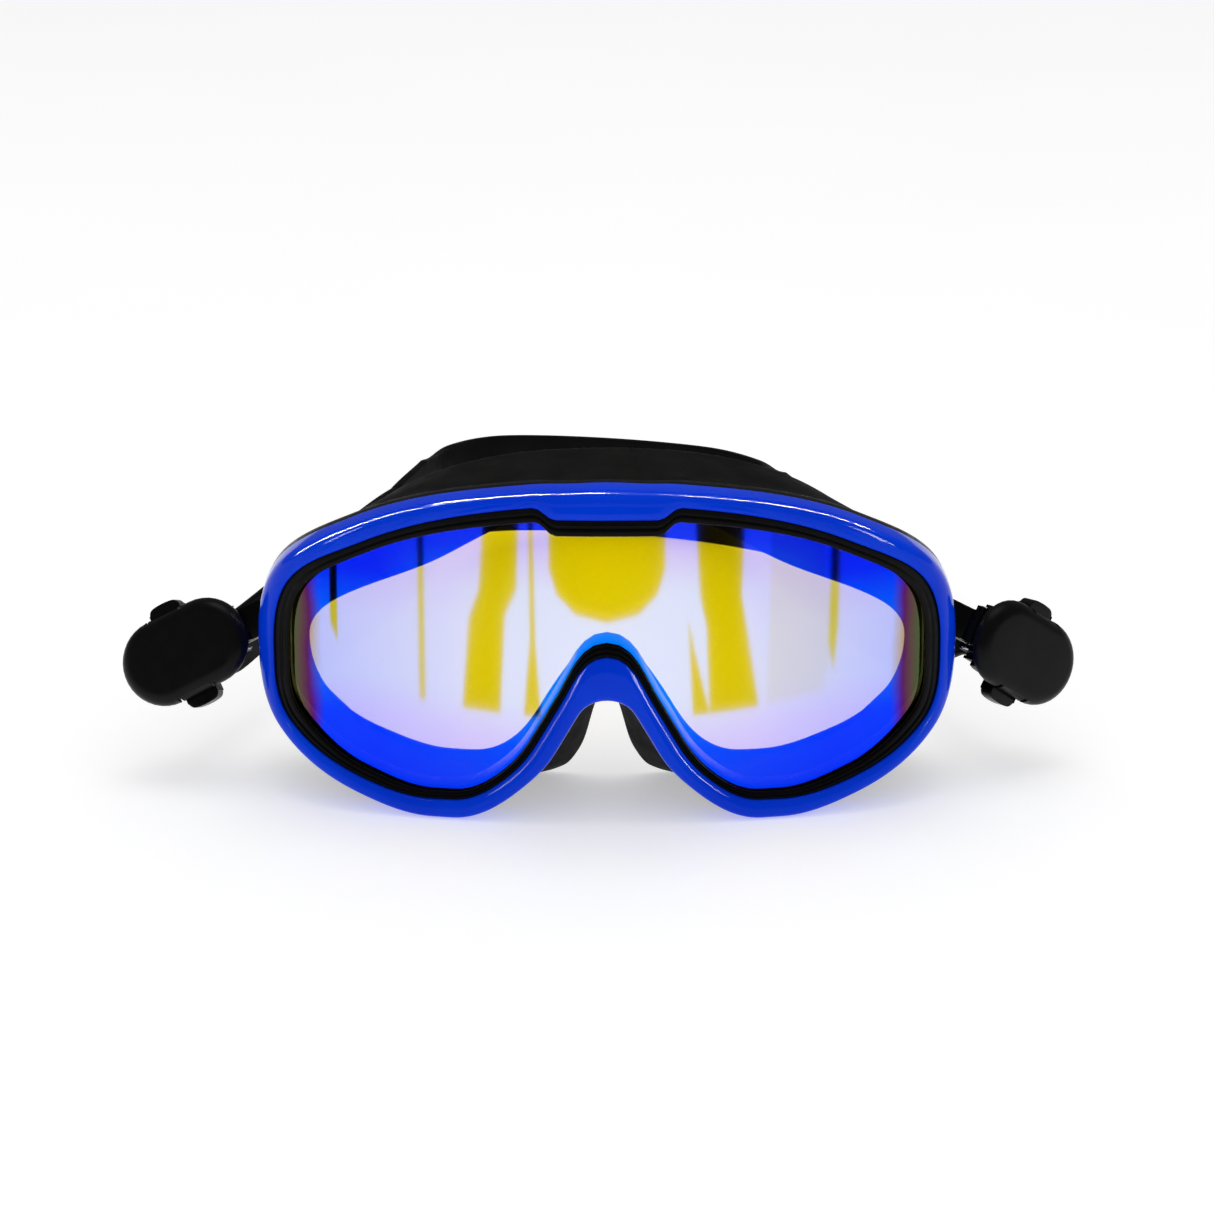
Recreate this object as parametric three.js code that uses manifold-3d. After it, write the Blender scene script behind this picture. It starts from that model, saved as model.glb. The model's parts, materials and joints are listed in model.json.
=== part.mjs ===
// Wide-view swim goggles with a one-piece lens, a soft face skirt and quick-adjust strap buckles.
// Millimetres, +Z up. The lens faces -Y and the strap loops away along +Y.
import * as THREE from 'three';
import { mergeVertices } from 'three/addons/utils/BufferGeometryUtils.js';
import Module from 'manifold-3d';

const wasm = await Module();
wasm.setup();

// ---------------------------------------------------------------- driving dimensions
const gap = 0.4; // clearance between neighbouring parts
const frameHalfWidth = 82.1;
const frameHeight = 81.3;
const noseTop = 30.1; // height of the nose notch in the rim

// Plan view of the front: a flat arc that turns into a tight arc at each side.
const wrapFlatRadius = 230;
const wrapFlatHalf = 58;
const wrapSideRadius = 40;

// Depths behind the front surface, front to back.
const rimDepth = 8;
const lipDepth = 3;
const sealFront = 1.7;
const sealBack = 3.2;
const lensFront = sealBack + gap;
const lensBack = lensFront + 2.2;
const frameTongue = lensBack + gap;
const frameFlange = rimDepth + gap;
const frameBack = 12;
const skirtFront = frameBack + gap;

// The rear face of the skirt is 33 mm back in the middle and sweeps further back at the temples.
const skirtRearMiddle = 33;
const skirtRearSweep = 17;
const skirtHalfWidth = 75.5;

// Buckle: hinge pin place on the right-hand side, its leaning axis, and the rest angle of each side.
const hingeSpot = new THREE.Vector3(87, 33, 36.7);
const hingeAxis = new THREE.Vector3(0.416, 0.411, 0.811).normalize();
const restAngle = { left: 4, right: 28 };
const buckleMiddle = 13.15; // distance from the hinge pin to the middle of the cover
const coverLength = 31.5;
const coverWidth = 20.5;
const coverFront = -8;
const trayFront = -3.6;
const trayBack = 3;
const eyeInner = 4.2;
const eyeOuter = 5.6;
const eyeRadius = 2.2;
const pinRadius = 1;
const pinHole = 1.1;
const rollerSpot = [buckleMiddle + 1.4, 1];
const rollerRadius = 2.4;
const ratchetRadius = 3.2;
const pawlSpot = [rollerSpot[0] - 8, 0.6];
const cheekEnd = pawlSpot[0] - 1.8;
const wallInner = 6.3;
const wallOuter = 7;
const pawlPinRadius = 0.6;
const pawlPinHole = 0.69;
const buttonMiddle = buckleMiddle + 1;
const buttonHalf = 4.1;
const buttonInner = 8.8;
const buttonOuter = 12.2;
const springTop = 10.2;
const springDepth = -1.3;

// Strap
const strapThick = 1.8;
const strapHeight = 14;
const tongueHalf = 4.4;
const legBack = 9.4;
const bandHeight = 12;

// ---------------------------------------------------------------- materials
function paint(color, roughness, metalness = 0) {
  return new THREE.MeshStandardMaterial({ color, roughness, metalness });
}
const blueGloss = paint(0x0a4be0, 0.12);
const blackMatte = paint(0x17181a, 0.55);
const blackSatin = paint(0x0c0c0d, 0.35);
const softBlack = paint(0x1d1d1f, 0.65);
const mirrorBlue = paint(0x2a49ff, 0.05, 0.6);
mirrorBlue.transparent = true;
mirrorBlue.opacity = 0.45;
const steel = paint(0xb9bcc0, 0.3, 1);

// ---------------------------------------------------------------- geometry helpers
function signedVolume(geometry) {
  const place = geometry.attributes.position;
  const order = geometry.index.array;
  const [a, b, c] = [new THREE.Vector3(), new THREE.Vector3(), new THREE.Vector3()];
  let sum = 0;
  for (let i = 0; i < order.length; i += 3) {
    a.fromBufferAttribute(place, order[i]);
    b.fromBufferAttribute(place, order[i + 1]);
    c.fromBufferAttribute(place, order[i + 2]);
    sum += a.dot(b.cross(c)) / 6;
  }
  return sum;
}

// Merges the shared corners and turns the faces outward.
function closed(geometry) {
  geometry.deleteAttribute('normal');
  geometry.deleteAttribute('uv');
  const merged = mergeVertices(geometry, 1e-5);
  if (signedVolume(merged) < 0) {
    merged.index.array.reverse();
  }
  return merged;
}

function solid(geometry) {
  const merged = closed(geometry);
  const vertProperties = new Float32Array(merged.attributes.position.array);
  const triVerts = new Uint32Array(merged.index.array);
  return new wasm.Manifold(new wasm.Mesh({ numProp: 3, vertProperties, triVerts }));
}

function surface(manifold) {
  const mesh = manifold.getMesh();
  const geometry = new THREE.BufferGeometry();
  geometry.setAttribute('position', new THREE.BufferAttribute(new Float32Array(mesh.vertProperties), 3));
  geometry.setIndex(new THREE.BufferAttribute(new Uint32Array(mesh.triVerts), 1));
  return geometry;
}

function boxSolid(x0, x1, y0, y1, z0, z1) {
  const box = new THREE.BoxGeometry(x1 - x0, y1 - y0, z1 - z0);
  box.translate((x0 + x1) / 2, (y0 + y1) / 2, (z0 + z1) / 2);
  return solid(box);
}

// A round bar along Z.
function barSolid(x, y, radius, z0, z1, sides = 16) {
  const bar = new THREE.CylinderGeometry(radius, radius, z1 - z0, sides);
  bar.rotateX(Math.PI / 2);
  bar.translate(x, y, (z0 + z1) / 2);
  return solid(bar);
}

// A flat shape drawn in X and Z, made solid from y0 back to y1.
function slab(shape, y0, y1, segments = 8) {
  const geometry = new THREE.ExtrudeGeometry(shape, {
    depth: y1 - y0,
    bevelEnabled: false,
    curveSegments: segments,
  });
  geometry.rotateX(Math.PI / 2);
  geometry.translate(0, y1, 0);
  return geometry;
}

// A stadium in X and Z: two half circles joined by straight sides.
function stadium(middle, length, width) {
  const radius = width / 2;
  const reach = length / 2 - radius;
  const shape = new THREE.Shape();
  shape.absarc(middle + reach, 0, radius, -Math.PI / 2, Math.PI / 2, false);
  shape.absarc(middle - reach, 0, radius, Math.PI / 2, (3 * Math.PI) / 2, false);
  return shape;
}

// ---------------------------------------------------------------- front outlines
const wrapTurn = Math.asin(wrapFlatHalf / wrapFlatRadius);
const wrapSideX = wrapFlatHalf - wrapSideRadius * Math.sin(wrapTurn);
const wrapSideY = wrapFlatRadius * (1 - Math.cos(wrapTurn)) + wrapSideRadius * Math.cos(wrapTurn);

// How far back the front surface lies at a given x.
function wrap(x) {
  const across = Math.abs(x);
  if (across <= wrapFlatHalf) {
    return wrapFlatRadius - Math.sqrt(wrapFlatRadius ** 2 - across ** 2);
  }
  const sine = Math.min((across - wrapSideX) / wrapSideRadius, 1);
  return wrapSideY - wrapSideRadius * Math.sqrt(1 - sine ** 2);
}

// Stations down the right half of the rim, from the brow middle round to the nose middle.
// x, z, heading in degrees, width of the blue rim, width of the black seal, steps to the next one.
const stations = [
  { x: 0, z: frameHeight, turn: 0, rim: 7.1, seal: 4.2, steps: 2 },
  { x: 11.6, z: 80.9, turn: 0, rim: 6.7, seal: 4.2, steps: 3 },
  { x: 17.4, z: 80.6, turn: -6, rim: 3.6, seal: 3.8, steps: 4 },
  { x: 57.5, z: 71, turn: -26, rim: 4.4, seal: 3.1, steps: 3 },
  { x: 75.7, z: 58.2, turn: -52, rim: 3.8, seal: 3.4, steps: 4 },
  { x: frameHalfWidth, z: 36.5, turn: -90, rim: 4.2, seal: 3.8, steps: 3 },
  { x: 77.1, z: 16.7, turn: -132, rim: 3.9, seal: 3.8, steps: 3 },
  { x: 59, z: 4.8, turn: -157, rim: 4, seal: 2.4, steps: 3 },
  { x: 41, z: 0, turn: -180, rim: 4.5, seal: 1.7, steps: 1 },
  { x: 36, z: 0, turn: -180, rim: 4.6, seal: 1.6, steps: 3 },
  { x: 20.5, z: 7.4, turn: -221, rim: 4.3, seal: 1.4, steps: 2 },
  { x: 12.2, z: 16.6, turn: -240, rim: 4.9, seal: 1.5, steps: 2 },
  { x: 6.4, z: 26.8, turn: -240, rim: 4.9, seal: 1.5, steps: 4 },
  { x: 0, z: noseTop, turn: -180, rim: 10.9, seal: 2.6, steps: 0 },
];

// The same stations on the rear edge of the skirt and on the edge of its face opening.
const rearStations = [
  [0, 82.2, 0], [11.6, 81.7, -4], [17.4, 81.1, -8], [50, 69, -36], [68, 52.5, -54],
  [skirtHalfWidth, 34, -90], [69, 15, -130], [54, 3.4, -157], [38, 0, -180], [22, 0, -180],
  [10, 2.2, -208], [6.6, 6.2, -238], [3.6, 15, -255], [0, 20.5, -180],
];
const openingStations = [
  [0, 67, 0], [11, 66.5, -5], [17, 65, -14], [40, 53, -30], [61, 42.5, -30],
  [71.5, 30, -90], [66, 15.5, -135], [54, 8.6, -162], [38, 5, -180], [31, 5.2, -185],
  [20, 11.5, -230], [14.5, 20, -240], [9.5, 27.8, -235], [0, 32, -180],
];

// A smooth run between two headed points, as round as a circular arc where the ends allow it.
function smoothRun(from, to, steps) {
  const chord = Math.hypot(to[0] - from[0], to[1] - from[1]);
  const bend = THREE.MathUtils.degToRad(Math.abs(to[2] - from[2]));
  const handle = bend < 0.01 ? chord / 3 : (chord * 2 * Math.tan(bend / 4)) / (3 * Math.sin(bend / 2));
  const [a, b] = [THREE.MathUtils.degToRad(from[2]), THREE.MathUtils.degToRad(to[2])];
  const curve = new THREE.CubicBezierCurve(
    new THREE.Vector2(from[0], from[1]),
    new THREE.Vector2(from[0] + handle * Math.cos(a), from[1] + handle * Math.sin(a)),
    new THREE.Vector2(to[0] - handle * Math.cos(b), to[1] - handle * Math.sin(b)),
    new THREE.Vector2(to[0], to[1]),
  );
  return curve.getPoints(steps).slice(0, -1);
}

// The whole closed outline: the right half through its stations, then its mirror image.
function outline(points) {
  const half = [];
  for (let i = 0; i + 1 < points.length; i += 1) {
    half.push(...smoothRun(points[i], points[i + 1], stations[i].steps));
  }
  const end = points[points.length - 1];
  half.push(new THREE.Vector2(end[0], end[1]));
  const mirrored = half.slice(1, -1).reverse().map((p) => new THREE.Vector2(-p.x, p.y));
  return half.concat(mirrored);
}

// A station moved inward, square to its heading.
function inward(station, distance) {
  const turn = THREE.MathUtils.degToRad(station.turn);
  return [station.x + distance * Math.sin(turn), station.z - distance * Math.cos(turn), station.turn];
}

const rimOuter = outline(stations.map((s) => inward(s, 0)));
const rimInner = outline(stations.map((s) => inward(s, s.rim)));
const lensEdge = outline(stations.map((s) => inward(s, s.rim + s.seal)));
const skirtRear = outline(rearStations);
const faceOpening = outline(openingStations);
const outlineCount = rimOuter.length;

// A point between two outlines, by share of the way or by distance.
function share(from, to, part) {
  return (k) => from[k].clone().lerp(to[k], part);
}
function step(from, to, distance) {
  return (k) => {
    const way = to[k].clone().sub(from[k]);
    return from[k].clone().add(way.setLength(distance));
  };
}

// Puts an outline point at a depth behind the front surface, or before the skirt's rear face.
function behindFront(point, depth) {
  return (k) => {
    const p = point(k);
    return new THREE.Vector3(p.x, wrap(p.x) + depth, p.y);
  };
}
function skirtRearAt(x) {
  return skirtRearMiddle + skirtRearSweep * (x / skirtHalfWidth) ** 2;
}
function beforeRear(point, distance) {
  return (k) => {
    const p = point(k);
    return new THREE.Vector3(p.x, skirtRearAt(p.x) - distance, p.y);
  };
}

// A ring with the given section corners, carried once round the outline.
function ring(corners) {
  const columns = corners.length + 1;
  const profile = Array.from({ length: columns }, (_, j) => new THREE.Vector2(1, j));
  const geometry = new THREE.LatheGeometry(profile, outlineCount);
  for (let i = 0; i <= outlineCount; i += 1) {
    for (let j = 0; j < columns; j += 1) {
      const spot = corners[j % corners.length](i % outlineCount);
      geometry.attributes.position.setXYZ(i * columns + j, spot.x, spot.y, spot.z);
    }
  }
  return closed(geometry);
}

// Plan region between two depths behind the front surface, carried up past the whole height.
function wrapPlate(depth0, depth1) {
  const half = [];
  for (let i = 0; i <= 6; i += 1) {
    half.push((wrapFlatHalf * i) / 6);
  }
  for (let i = 1; i <= 9; i += 1) {
    const angle = wrapTurn + ((Math.PI / 2 - 0.15 - wrapTurn) * i) / 9;
    half.push(wrapSideX + wrapSideRadius * Math.sin(angle));
  }
  const across = half.slice(1).reverse().map((x) => -x).concat(half);
  const front = across.map((x) => new THREE.Vector2(x, wrap(x) + depth0));
  const back = across.map((x) => new THREE.Vector2(x, wrap(x) + depth1)).reverse();
  const plate = new THREE.ExtrudeGeometry(new THREE.Shape(front.concat(back)), {
    depth: frameHeight + 20,
    bevelEnabled: false,
  });
  plate.translate(0, 0, -10);
  return solid(plate);
}

function prism(point, y0, y1) {
  const corners = rimOuter.map((_, k) => point(k));
  return solid(slab(new THREE.Shape(corners), y0, y1));
}

// ---------------------------------------------------------------- front parts
const seat = share(rimOuter, rimInner, 0.64);

function frontRim() {
  return ring([
    behindFront(share(rimOuter, rimInner, 0), 1.6),
    behindFront(share(rimOuter, rimInner, 0.16), 0.4),
    behindFront(share(rimOuter, rimInner, 0.45), 0),
    behindFront(share(rimOuter, rimInner, 0.85), 0.3),
    behindFront(share(rimOuter, rimInner, 1), 1.1),
    behindFront(share(rimOuter, rimInner, 1), lipDepth),
    behindFront(share(rimOuter, rimInner, 0.54), lipDepth),
    behindFront(share(rimOuter, rimInner, 0.54), rimDepth),
    behindFront(share(rimOuter, rimInner, 0), rimDepth),
  ]);
}

function lensGasket() {
  const outside = step(rimInner, lensEdge, gap);
  const inside = share(rimInner, lensEdge, 1);
  return ring([
    behindFront(outside, sealFront),
    behindFront(inside, sealFront + 0.3),
    behindFront(inside, sealBack),
    behindFront(outside, sealBack),
  ]);
}

function lens() {
  return surface(wrapPlate(lensFront, lensBack).intersect(prism(seat, -10, 60)));
}

function innerFrame() {
  const inside = share(rimInner, lensEdge, 1);
  const middle = share(rimInner, lensEdge, 0);
  const outside = share(rimOuter, rimInner, 0.08);
  const ringPart = solid(ring([
    behindFront(seat, frameTongue),
    behindFront(middle, frameTongue),
    behindFront(inside, frameTongue),
    behindFront(inside, frameBack),
    behindFront(middle, frameBack),
    behindFront(outside, frameBack),
    behindFront(outside, frameFlange),
    behindFront(seat, frameFlange),
  ]));
  const rightLug = sideLug();
  return surface(ringPart.add(rightLug).add(rightLug.mirror([1, 0, 0])));
}

// Hinge barrel and the arm that joins it to the frame, kept clear of the rim.
function sideLug() {
  const toWorld = buckleMatrix(0).elements;
  const barrel = barSolid(0, 0, 2.4, 0.3 - eyeInner, eyeInner - 0.3);
  const arm = boxSolid(-8.5, 0, -0.8, 2.4, 0.3 - eyeInner, eyeInner - 0.3);
  const bore = barSolid(0, 0, pinHole, -8, 8, 12);
  const swung = barrel.add(arm).subtract(bore).transform(toWorld);
  const { y, z } = hingeSpot;
  const block = boxSolid(frameHalfWidth - 2.6, frameHalfWidth + 1.9, y + 1.3, y + 4, z - 3, z + 6.5);
  const [infront, behind] = [-30, 90]; // depths past the whole front, before it and behind it
  const rimEdge = step(rimOuter, rimInner, -gap);
  const rimSpace = wrapPlate(infront, frameFlange).intersect(prism(rimEdge, infront, behind));
  const skirtEdge = share(rimOuter, rimInner, 0.15);
  const skirtSpace = wrapPlate(frameBack, behind).intersect(prism(skirtEdge, infront, behind));
  const insideSpace = prism(share(rimInner, lensEdge, 0.5), infront, behind);
  return swung.add(block).subtract(rimSpace).subtract(skirtSpace).subtract(insideSpace);
}

// Hollow skirt: front bead, outer wall, rolled rear lip, face flange and inner wall.
function faceSkirt() {
  const frontOut = share(rimOuter, rimInner, 0.3);
  const frontIn = share(rimInner, lensEdge, 0.4);
  const halfWayOut = (k) => frontOut(k).lerp(skirtRear[k], 0.5);
  const halfWayIn = (k) => frontIn(k).lerp(step(skirtRear, faceOpening, 2.6)(k), 0.5);
  const between = (point, part, inset) => (k) => {
    const p = point(k);
    const y = (wrap(p.x) + skirtFront) * (1 - part) + (skirtRearAt(p.x) - inset) * part;
    return new THREE.Vector3(p.x, y, p.y);
  };
  return ring([
    behindFront(frontOut, skirtFront),
    between(halfWayOut, 0.5, 1),
    beforeRear(share(skirtRear, faceOpening, 0), 1.6),
    beforeRear(step(skirtRear, faceOpening, 1.1), 0.2),
    beforeRear(step(skirtRear, faceOpening, 3), 0),
    beforeRear(share(skirtRear, faceOpening, 1), 1),
    beforeRear(share(skirtRear, faceOpening, 1), 2.4),
    beforeRear(step(skirtRear, faceOpening, 3), 3),
    between(halfWayIn, 0.5, 2.5),
    behindFront(frontIn, skirtFront),
    behindFront(share(rimInner, lensEdge, 0), skirtFront),
  ]);
}

// ---------------------------------------------------------------- buckle
// Axes of a right-hand buckle swung back by an angle: x outward, y back, z along the hinge pin.
function buckleMatrix(degrees) {
  const flat = new THREE.Vector3(hingeAxis.z, 0, -hingeAxis.x).normalize();
  const back = hingeAxis.clone().cross(flat);
  const swing = THREE.MathUtils.degToRad(degrees);
  const outward = flat.clone().multiplyScalar(Math.cos(swing)).addScaledVector(back, Math.sin(swing));
  const rearward = hingeAxis.clone().cross(outward);
  return new THREE.Matrix4().makeBasis(outward, rearward, hingeAxis).setPosition(hingeSpot);
}

function buckleCover() {
  const rise = trayFront - 0.3 - coverFront - 0.8;
  const dome = new THREE.ExtrudeGeometry(stadium(buckleMiddle, coverLength - 5.6, coverWidth - 5.6), {
    depth: 2,
    bevelThickness: rise,
    bevelSize: 2.8,
    bevelSegments: 4,
    curveSegments: 10,
  });
  dome.rotateX(Math.PI / 2);
  dome.translate(0, coverFront + rise + 2, 0);
  const rounded = solid(dome);
  const behind = boxSolid(-10, 40, trayFront - 0.3, 20, -20, 20);
  const hollow = solid(slab(stadium(buckleMiddle, coverLength - 5, coverWidth - 5), -6.6, 0));
  return surface(rounded.subtract(behind).subtract(hollow));
}

function buckleBase() {
  const wall = solid(slab(stadium(buckleMiddle, coverLength - 1.2, coverWidth - 1.2), trayFront, trayBack));
  const floorFront = trayBack - 1.2;
  const wellShape = stadium(buckleMiddle, coverLength - 3.8, coverWidth - 3.8);
  const well = solid(slab(wellShape, trayFront - 1, floorFront));
  const hingeEnd = boxSolid(-6, 5, -10, 10, -12, 12);
  const window = boxSolid(cheekEnd, rollerSpot[0] + 5.4, 0, 10, 0.2 - wallInner, wallInner - 0.2);
  let tray = wall.subtract(well).subtract(hingeEnd).subtract(window);
  for (const side of [-1, 1]) {
    const sorted = (z0, z1) => (side > 0 ? [z0, z1] : [-z1, -z0]);
    const layer = (x0, x1, y0, y1, z0, z1) => boxSolid(x0, x1, y0, y1, ...sorted(z0, z1));
    const notchHalf = buttonHalf + gap;
    tray = tray
      .add(barSolid(0, 0, eyeRadius, ...sorted(eyeInner, eyeOuter)))
      .add(layer(0, cheekEnd, -eyeRadius, eyeRadius, eyeInner, eyeOuter))
      .add(layer(3, cheekEnd, -eyeRadius, eyeRadius, eyeInner, wallOuter))
      .add(layer(3, buckleMiddle + 9.5, -eyeRadius, trayBack - 0.2, wallInner, wallOuter))
      .subtract(layer(buttonMiddle - notchHalf, buttonMiddle + notchHalf, -9, 1, wallOuter + 0.3, 12));
  }
  for (const [spot, radius] of [[[0, 0], pinHole], [rollerSpot, pinHole], [pawlSpot, pawlPinHole]]) {
    tray = tray.subtract(barSolid(...spot, radius, -9, 9, 12));
  }
  return surface(tray);
}

// Side button: thumb block with a blind hole for its spring. It is drawn for the upper side.
function releaseButton() {
  const [x0, x1] = [buttonMiddle - buttonHalf, buttonMiddle + buttonHalf];
  const block = boxSolid(x0, x1, trayFront + 0.4, 0.6, buttonInner, buttonOuter);
  const springHole = barSolid(buttonMiddle, springDepth, 1.4, buttonInner - 1, springTop + 0.2, 12);
  return surface(block.subtract(springHole));
}

function buttonSpring() {
  const [coilRadius, wire, turns, low] = [0.85, 0.18, 3, wallOuter + 0.3];
  class Coil extends THREE.Curve {
    getPoint(t) {
      const angle = 2 * Math.PI * turns * t;
      const z = low + wire + t * (springTop - low - 2 * wire);
      return new THREE.Vector3(coilRadius * Math.cos(angle), coilRadius * Math.sin(angle), z);
    }
  }
  const section = new THREE.Shape();
  section.absarc(0, 0, wire, 0, 2 * Math.PI, false);
  const coil = new THREE.ExtrudeGeometry(section, { steps: 24, curveSegments: 3, extrudePath: new Coil() });
  coil.translate(buttonMiddle, springDepth, 0);
  return closed(coil);
}

function strapRoller() {
  const toothCount = 12;
  const [x, y] = rollerSpot;
  const wheel = new THREE.Shape();
  for (let i = 0; i < toothCount; i += 1) {
    const angle = (2 * Math.PI * i) / toothCount;
    const next = angle + (1.7 * Math.PI) / toothCount;
    const corner = (radius, turn) => [x + radius * Math.cos(turn), y + radius * Math.sin(turn)];
    if (i === 0) {
      wheel.moveTo(...corner(ratchetRadius, angle));
    } else {
      wheel.lineTo(...corner(ratchetRadius, angle));
    }
    wheel.lineTo(...corner(ratchetRadius - 0.5, next));
  }
  let roller = barSolid(...rollerSpot, rollerRadius, -5.9, 5.9, 16);
  for (const low of [4.8, -5.9]) {
    const disc = new THREE.ExtrudeGeometry(wheel, { depth: 1.1, bevelEnabled: false });
    disc.translate(0, 0, low);
    roller = roller.add(solid(disc));
  }
  return surface(roller.subtract(barSolid(...rollerSpot, pinHole, -9, 9, 12)));
}

// Ratchet lever: a sleeve on its pin with one finger for each ratchet wheel.
function pawl() {
  const tip = rollerSpot[0] - ratchetRadius - 0.3;
  const y = pawlSpot[1];
  let lever = barSolid(...pawlSpot, 1.4, -5.9, 5.9, 14);
  lever = lever.add(boxSolid(pawlSpot[0], tip, y - 0.1, y + 0.9, 4.8, 5.9));
  lever = lever.add(boxSolid(pawlSpot[0], tip, y - 0.1, y + 0.9, -5.9, -4.8));
  return surface(lever.subtract(barSolid(...pawlSpot, pawlPinHole, -9, 9, 12)));
}

function pin(spot, radius, reach) {
  return surface(barSolid(...spot, radius, -reach, reach, 12));
}

// Strap tongue: comes in from behind, round the front of the roller and out behind again.
function strapEnd() {
  const inner = rollerRadius + 0.3;
  const outer = inner + strapThick;
  const loop = new THREE.Shape();
  loop.moveTo(rollerSpot[0] + inner, legBack);
  loop.lineTo(rollerSpot[0] + inner, rollerSpot[1]);
  loop.absarc(rollerSpot[0], rollerSpot[1], inner, 0, -Math.PI, true);
  loop.lineTo(rollerSpot[0] - inner, legBack);
  loop.lineTo(rollerSpot[0] - outer, legBack);
  loop.lineTo(rollerSpot[0] - outer, rollerSpot[1]);
  loop.absarc(rollerSpot[0], rollerSpot[1], outer, -Math.PI, 0, false);
  loop.lineTo(rollerSpot[0] + outer, legBack);
  const tongue = new THREE.ExtrudeGeometry(loop, {
    depth: 2 * tongueHalf,
    bevelEnabled: false,
    curveSegments: 8,
  });
  tongue.translate(0, 0, -tongueHalf);
  return closed(tongue);
}

// Loop that holds both legs of the strap together behind the buckle.
function strapKeeper() {
  const reach = rollerRadius + 0.3 + strapThick + 0.3;
  const [x, low, high] = [rollerSpot[0], 5.2, 8.2];
  const half = tongueHalf + 0.3;
  const wall = 1.1;
  const outside = boxSolid(x - reach - wall, x + reach + wall, low, high, -half - wall, half + wall);
  return surface(outside.subtract(boxSolid(x - reach, x + reach, 0, 20, -half, half)));
}

// ---------------------------------------------------------------- strap
// One centre line from the right buckle round the back of the head to the left buckle. The side run
// has three spans at each end, then comes the fork span, and the rear bands take the spans between.
const sideSpans = 3;
const rearSpans = 6;
const lastSpan = 2 * (sideSpans + 1) + rearSpans;
const rightRoute = [
  [71, 95, 29.5],
  [54.6, 138, 27.5],
  [46.2, 163, 21],
  [41, 184, 16.7],
  [27, 201, 14.2],
];
const leftRoute = [
  [-71, 95, 30.5],
  [-55.5, 138, 30],
  [-48, 163, 24.5],
  [-42.5, 184, 21],
  [-28, 201, 17.5],
];
const routeRear = [0, 206.5, 15];

// Where a strap leg leaves the keeper, and a point straight behind it.
function legPoints(side) {
  const sign = side === 'left' ? -1 : 1;
  const legX = rollerSpot[0] - rollerRadius - 0.3 - strapThick / 2;
  return [legBack + 0.3, legBack + 9].map((y) => {
    const point = new THREE.Vector3(legX, y, 0).applyMatrix4(buckleMatrix(restAngle[side]));
    return new THREE.Vector3(sign * point.x, point.y, point.z);
  });
}

const rightRun = rightRoute.map((p) => new THREE.Vector3(...p));
const leftRun = leftRoute.map((p) => new THREE.Vector3(...p));
const strapCentre = new THREE.CatmullRomCurve3([
  ...legPoints('right'),
  ...rightRun,
  new THREE.Vector3(...routeRear),
  ...leftRun.reverse(),
  ...legPoints('left').reverse(),
]);

// The direction across the width: along the hinge at the buckles, then upright.
function widthDirection(span) {
  const toBuckle = Math.min(span, lastSpan - span);
  const sign = span < lastSpan / 2 ? 1 : -1;
  const lean = new THREE.Vector3(sign * hingeAxis.x, hingeAxis.y, hingeAxis.z);
  return lean.lerp(new THREE.Vector3(0, 0, 1), Math.min(toBuckle / 2, 1)).normalize();
}

// A flat band along part of the centre line, raised by level and as wide as height says.
function band(from, to, steps, level, height, thick = strapThick) {
  const geometry = new THREE.BoxGeometry(1, 1, 1, 1, 1, steps);
  const place = geometry.attributes.position;
  for (let i = 0; i < place.count; i += 1) {
    const span = THREE.MathUtils.lerp(from, to, place.getZ(i) + 0.5);
    const toBuckle = Math.min(span, lastSpan - span);
    const middle = strapCentre.getPoint(span / lastSpan);
    const up = widthDirection(span);
    const across = strapCentre.getTangent(span / lastSpan).cross(up).normalize();
    middle.addScaledVector(across, place.getX(i) * thick);
    middle.addScaledVector(up, place.getY(i) * height(toBuckle) + level(toBuckle));
    place.setXYZ(i, middle.x, middle.y, middle.z);
  }
  return closed(geometry);
}

const joint = 0.015; // clearance between strap pieces, as a share of a span

function strapSide(side) {
  const height = (span) => {
    const widening = THREE.MathUtils.smoothstep(span, 0.3, 1.2);
    return THREE.MathUtils.lerp(2 * tongueHalf, strapHeight, widening);
  };
  const ends = side === 'right' ? [0, sideSpans] : [lastSpan - sideSpans, lastSpan];
  return band(...ends, 18, () => 0, height);
}

function strapFork(side) {
  const height = (span) => THREE.MathUtils.lerp(strapHeight, 2 * bandHeight, span - sideSpans);
  const ends = [sideSpans + joint, sideSpans + 1 - joint];
  const range = side === 'right' ? ends : ends.map((span) => lastSpan - span).reverse();
  return band(...range, 3, () => 0, height, strapThick + 0.4);
}

// Rear bands: the upper and lower band part behind the fork and run round the back of the head.
function rearBand(sign) {
  const level = (span) => {
    const parting = THREE.MathUtils.smoothstep(span, sideSpans + 1, sideSpans + 3);
    return sign * (bandHeight / 2 - 0.1 + THREE.MathUtils.lerp(0.5, 2.1, parting));
  };
  const start = sideSpans + 1 + joint;
  return band(start, lastSpan - start, 26, level, () => bandHeight - 0.2);
}

// ---------------------------------------------------------------- assembly
const goggles = new THREE.Group();

function addPart(parent, name, geometry, material) {
  const mesh = new THREE.Mesh(geometry, material);
  mesh.name = name;
  parent.add(mesh);
}

addPart(goggles, 'front_rim', frontRim(), blueGloss);
addPart(goggles, 'lens_gasket', lensGasket(), blackMatte);
addPart(goggles, 'lens', lens(), mirrorBlue);
addPart(goggles, 'inner_frame', innerFrame(), blackSatin);
addPart(goggles, 'face_skirt', faceSkirt(), softBlack);

const lowerSide = new THREE.Matrix4().makeScale(1, 1, -1);

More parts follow.
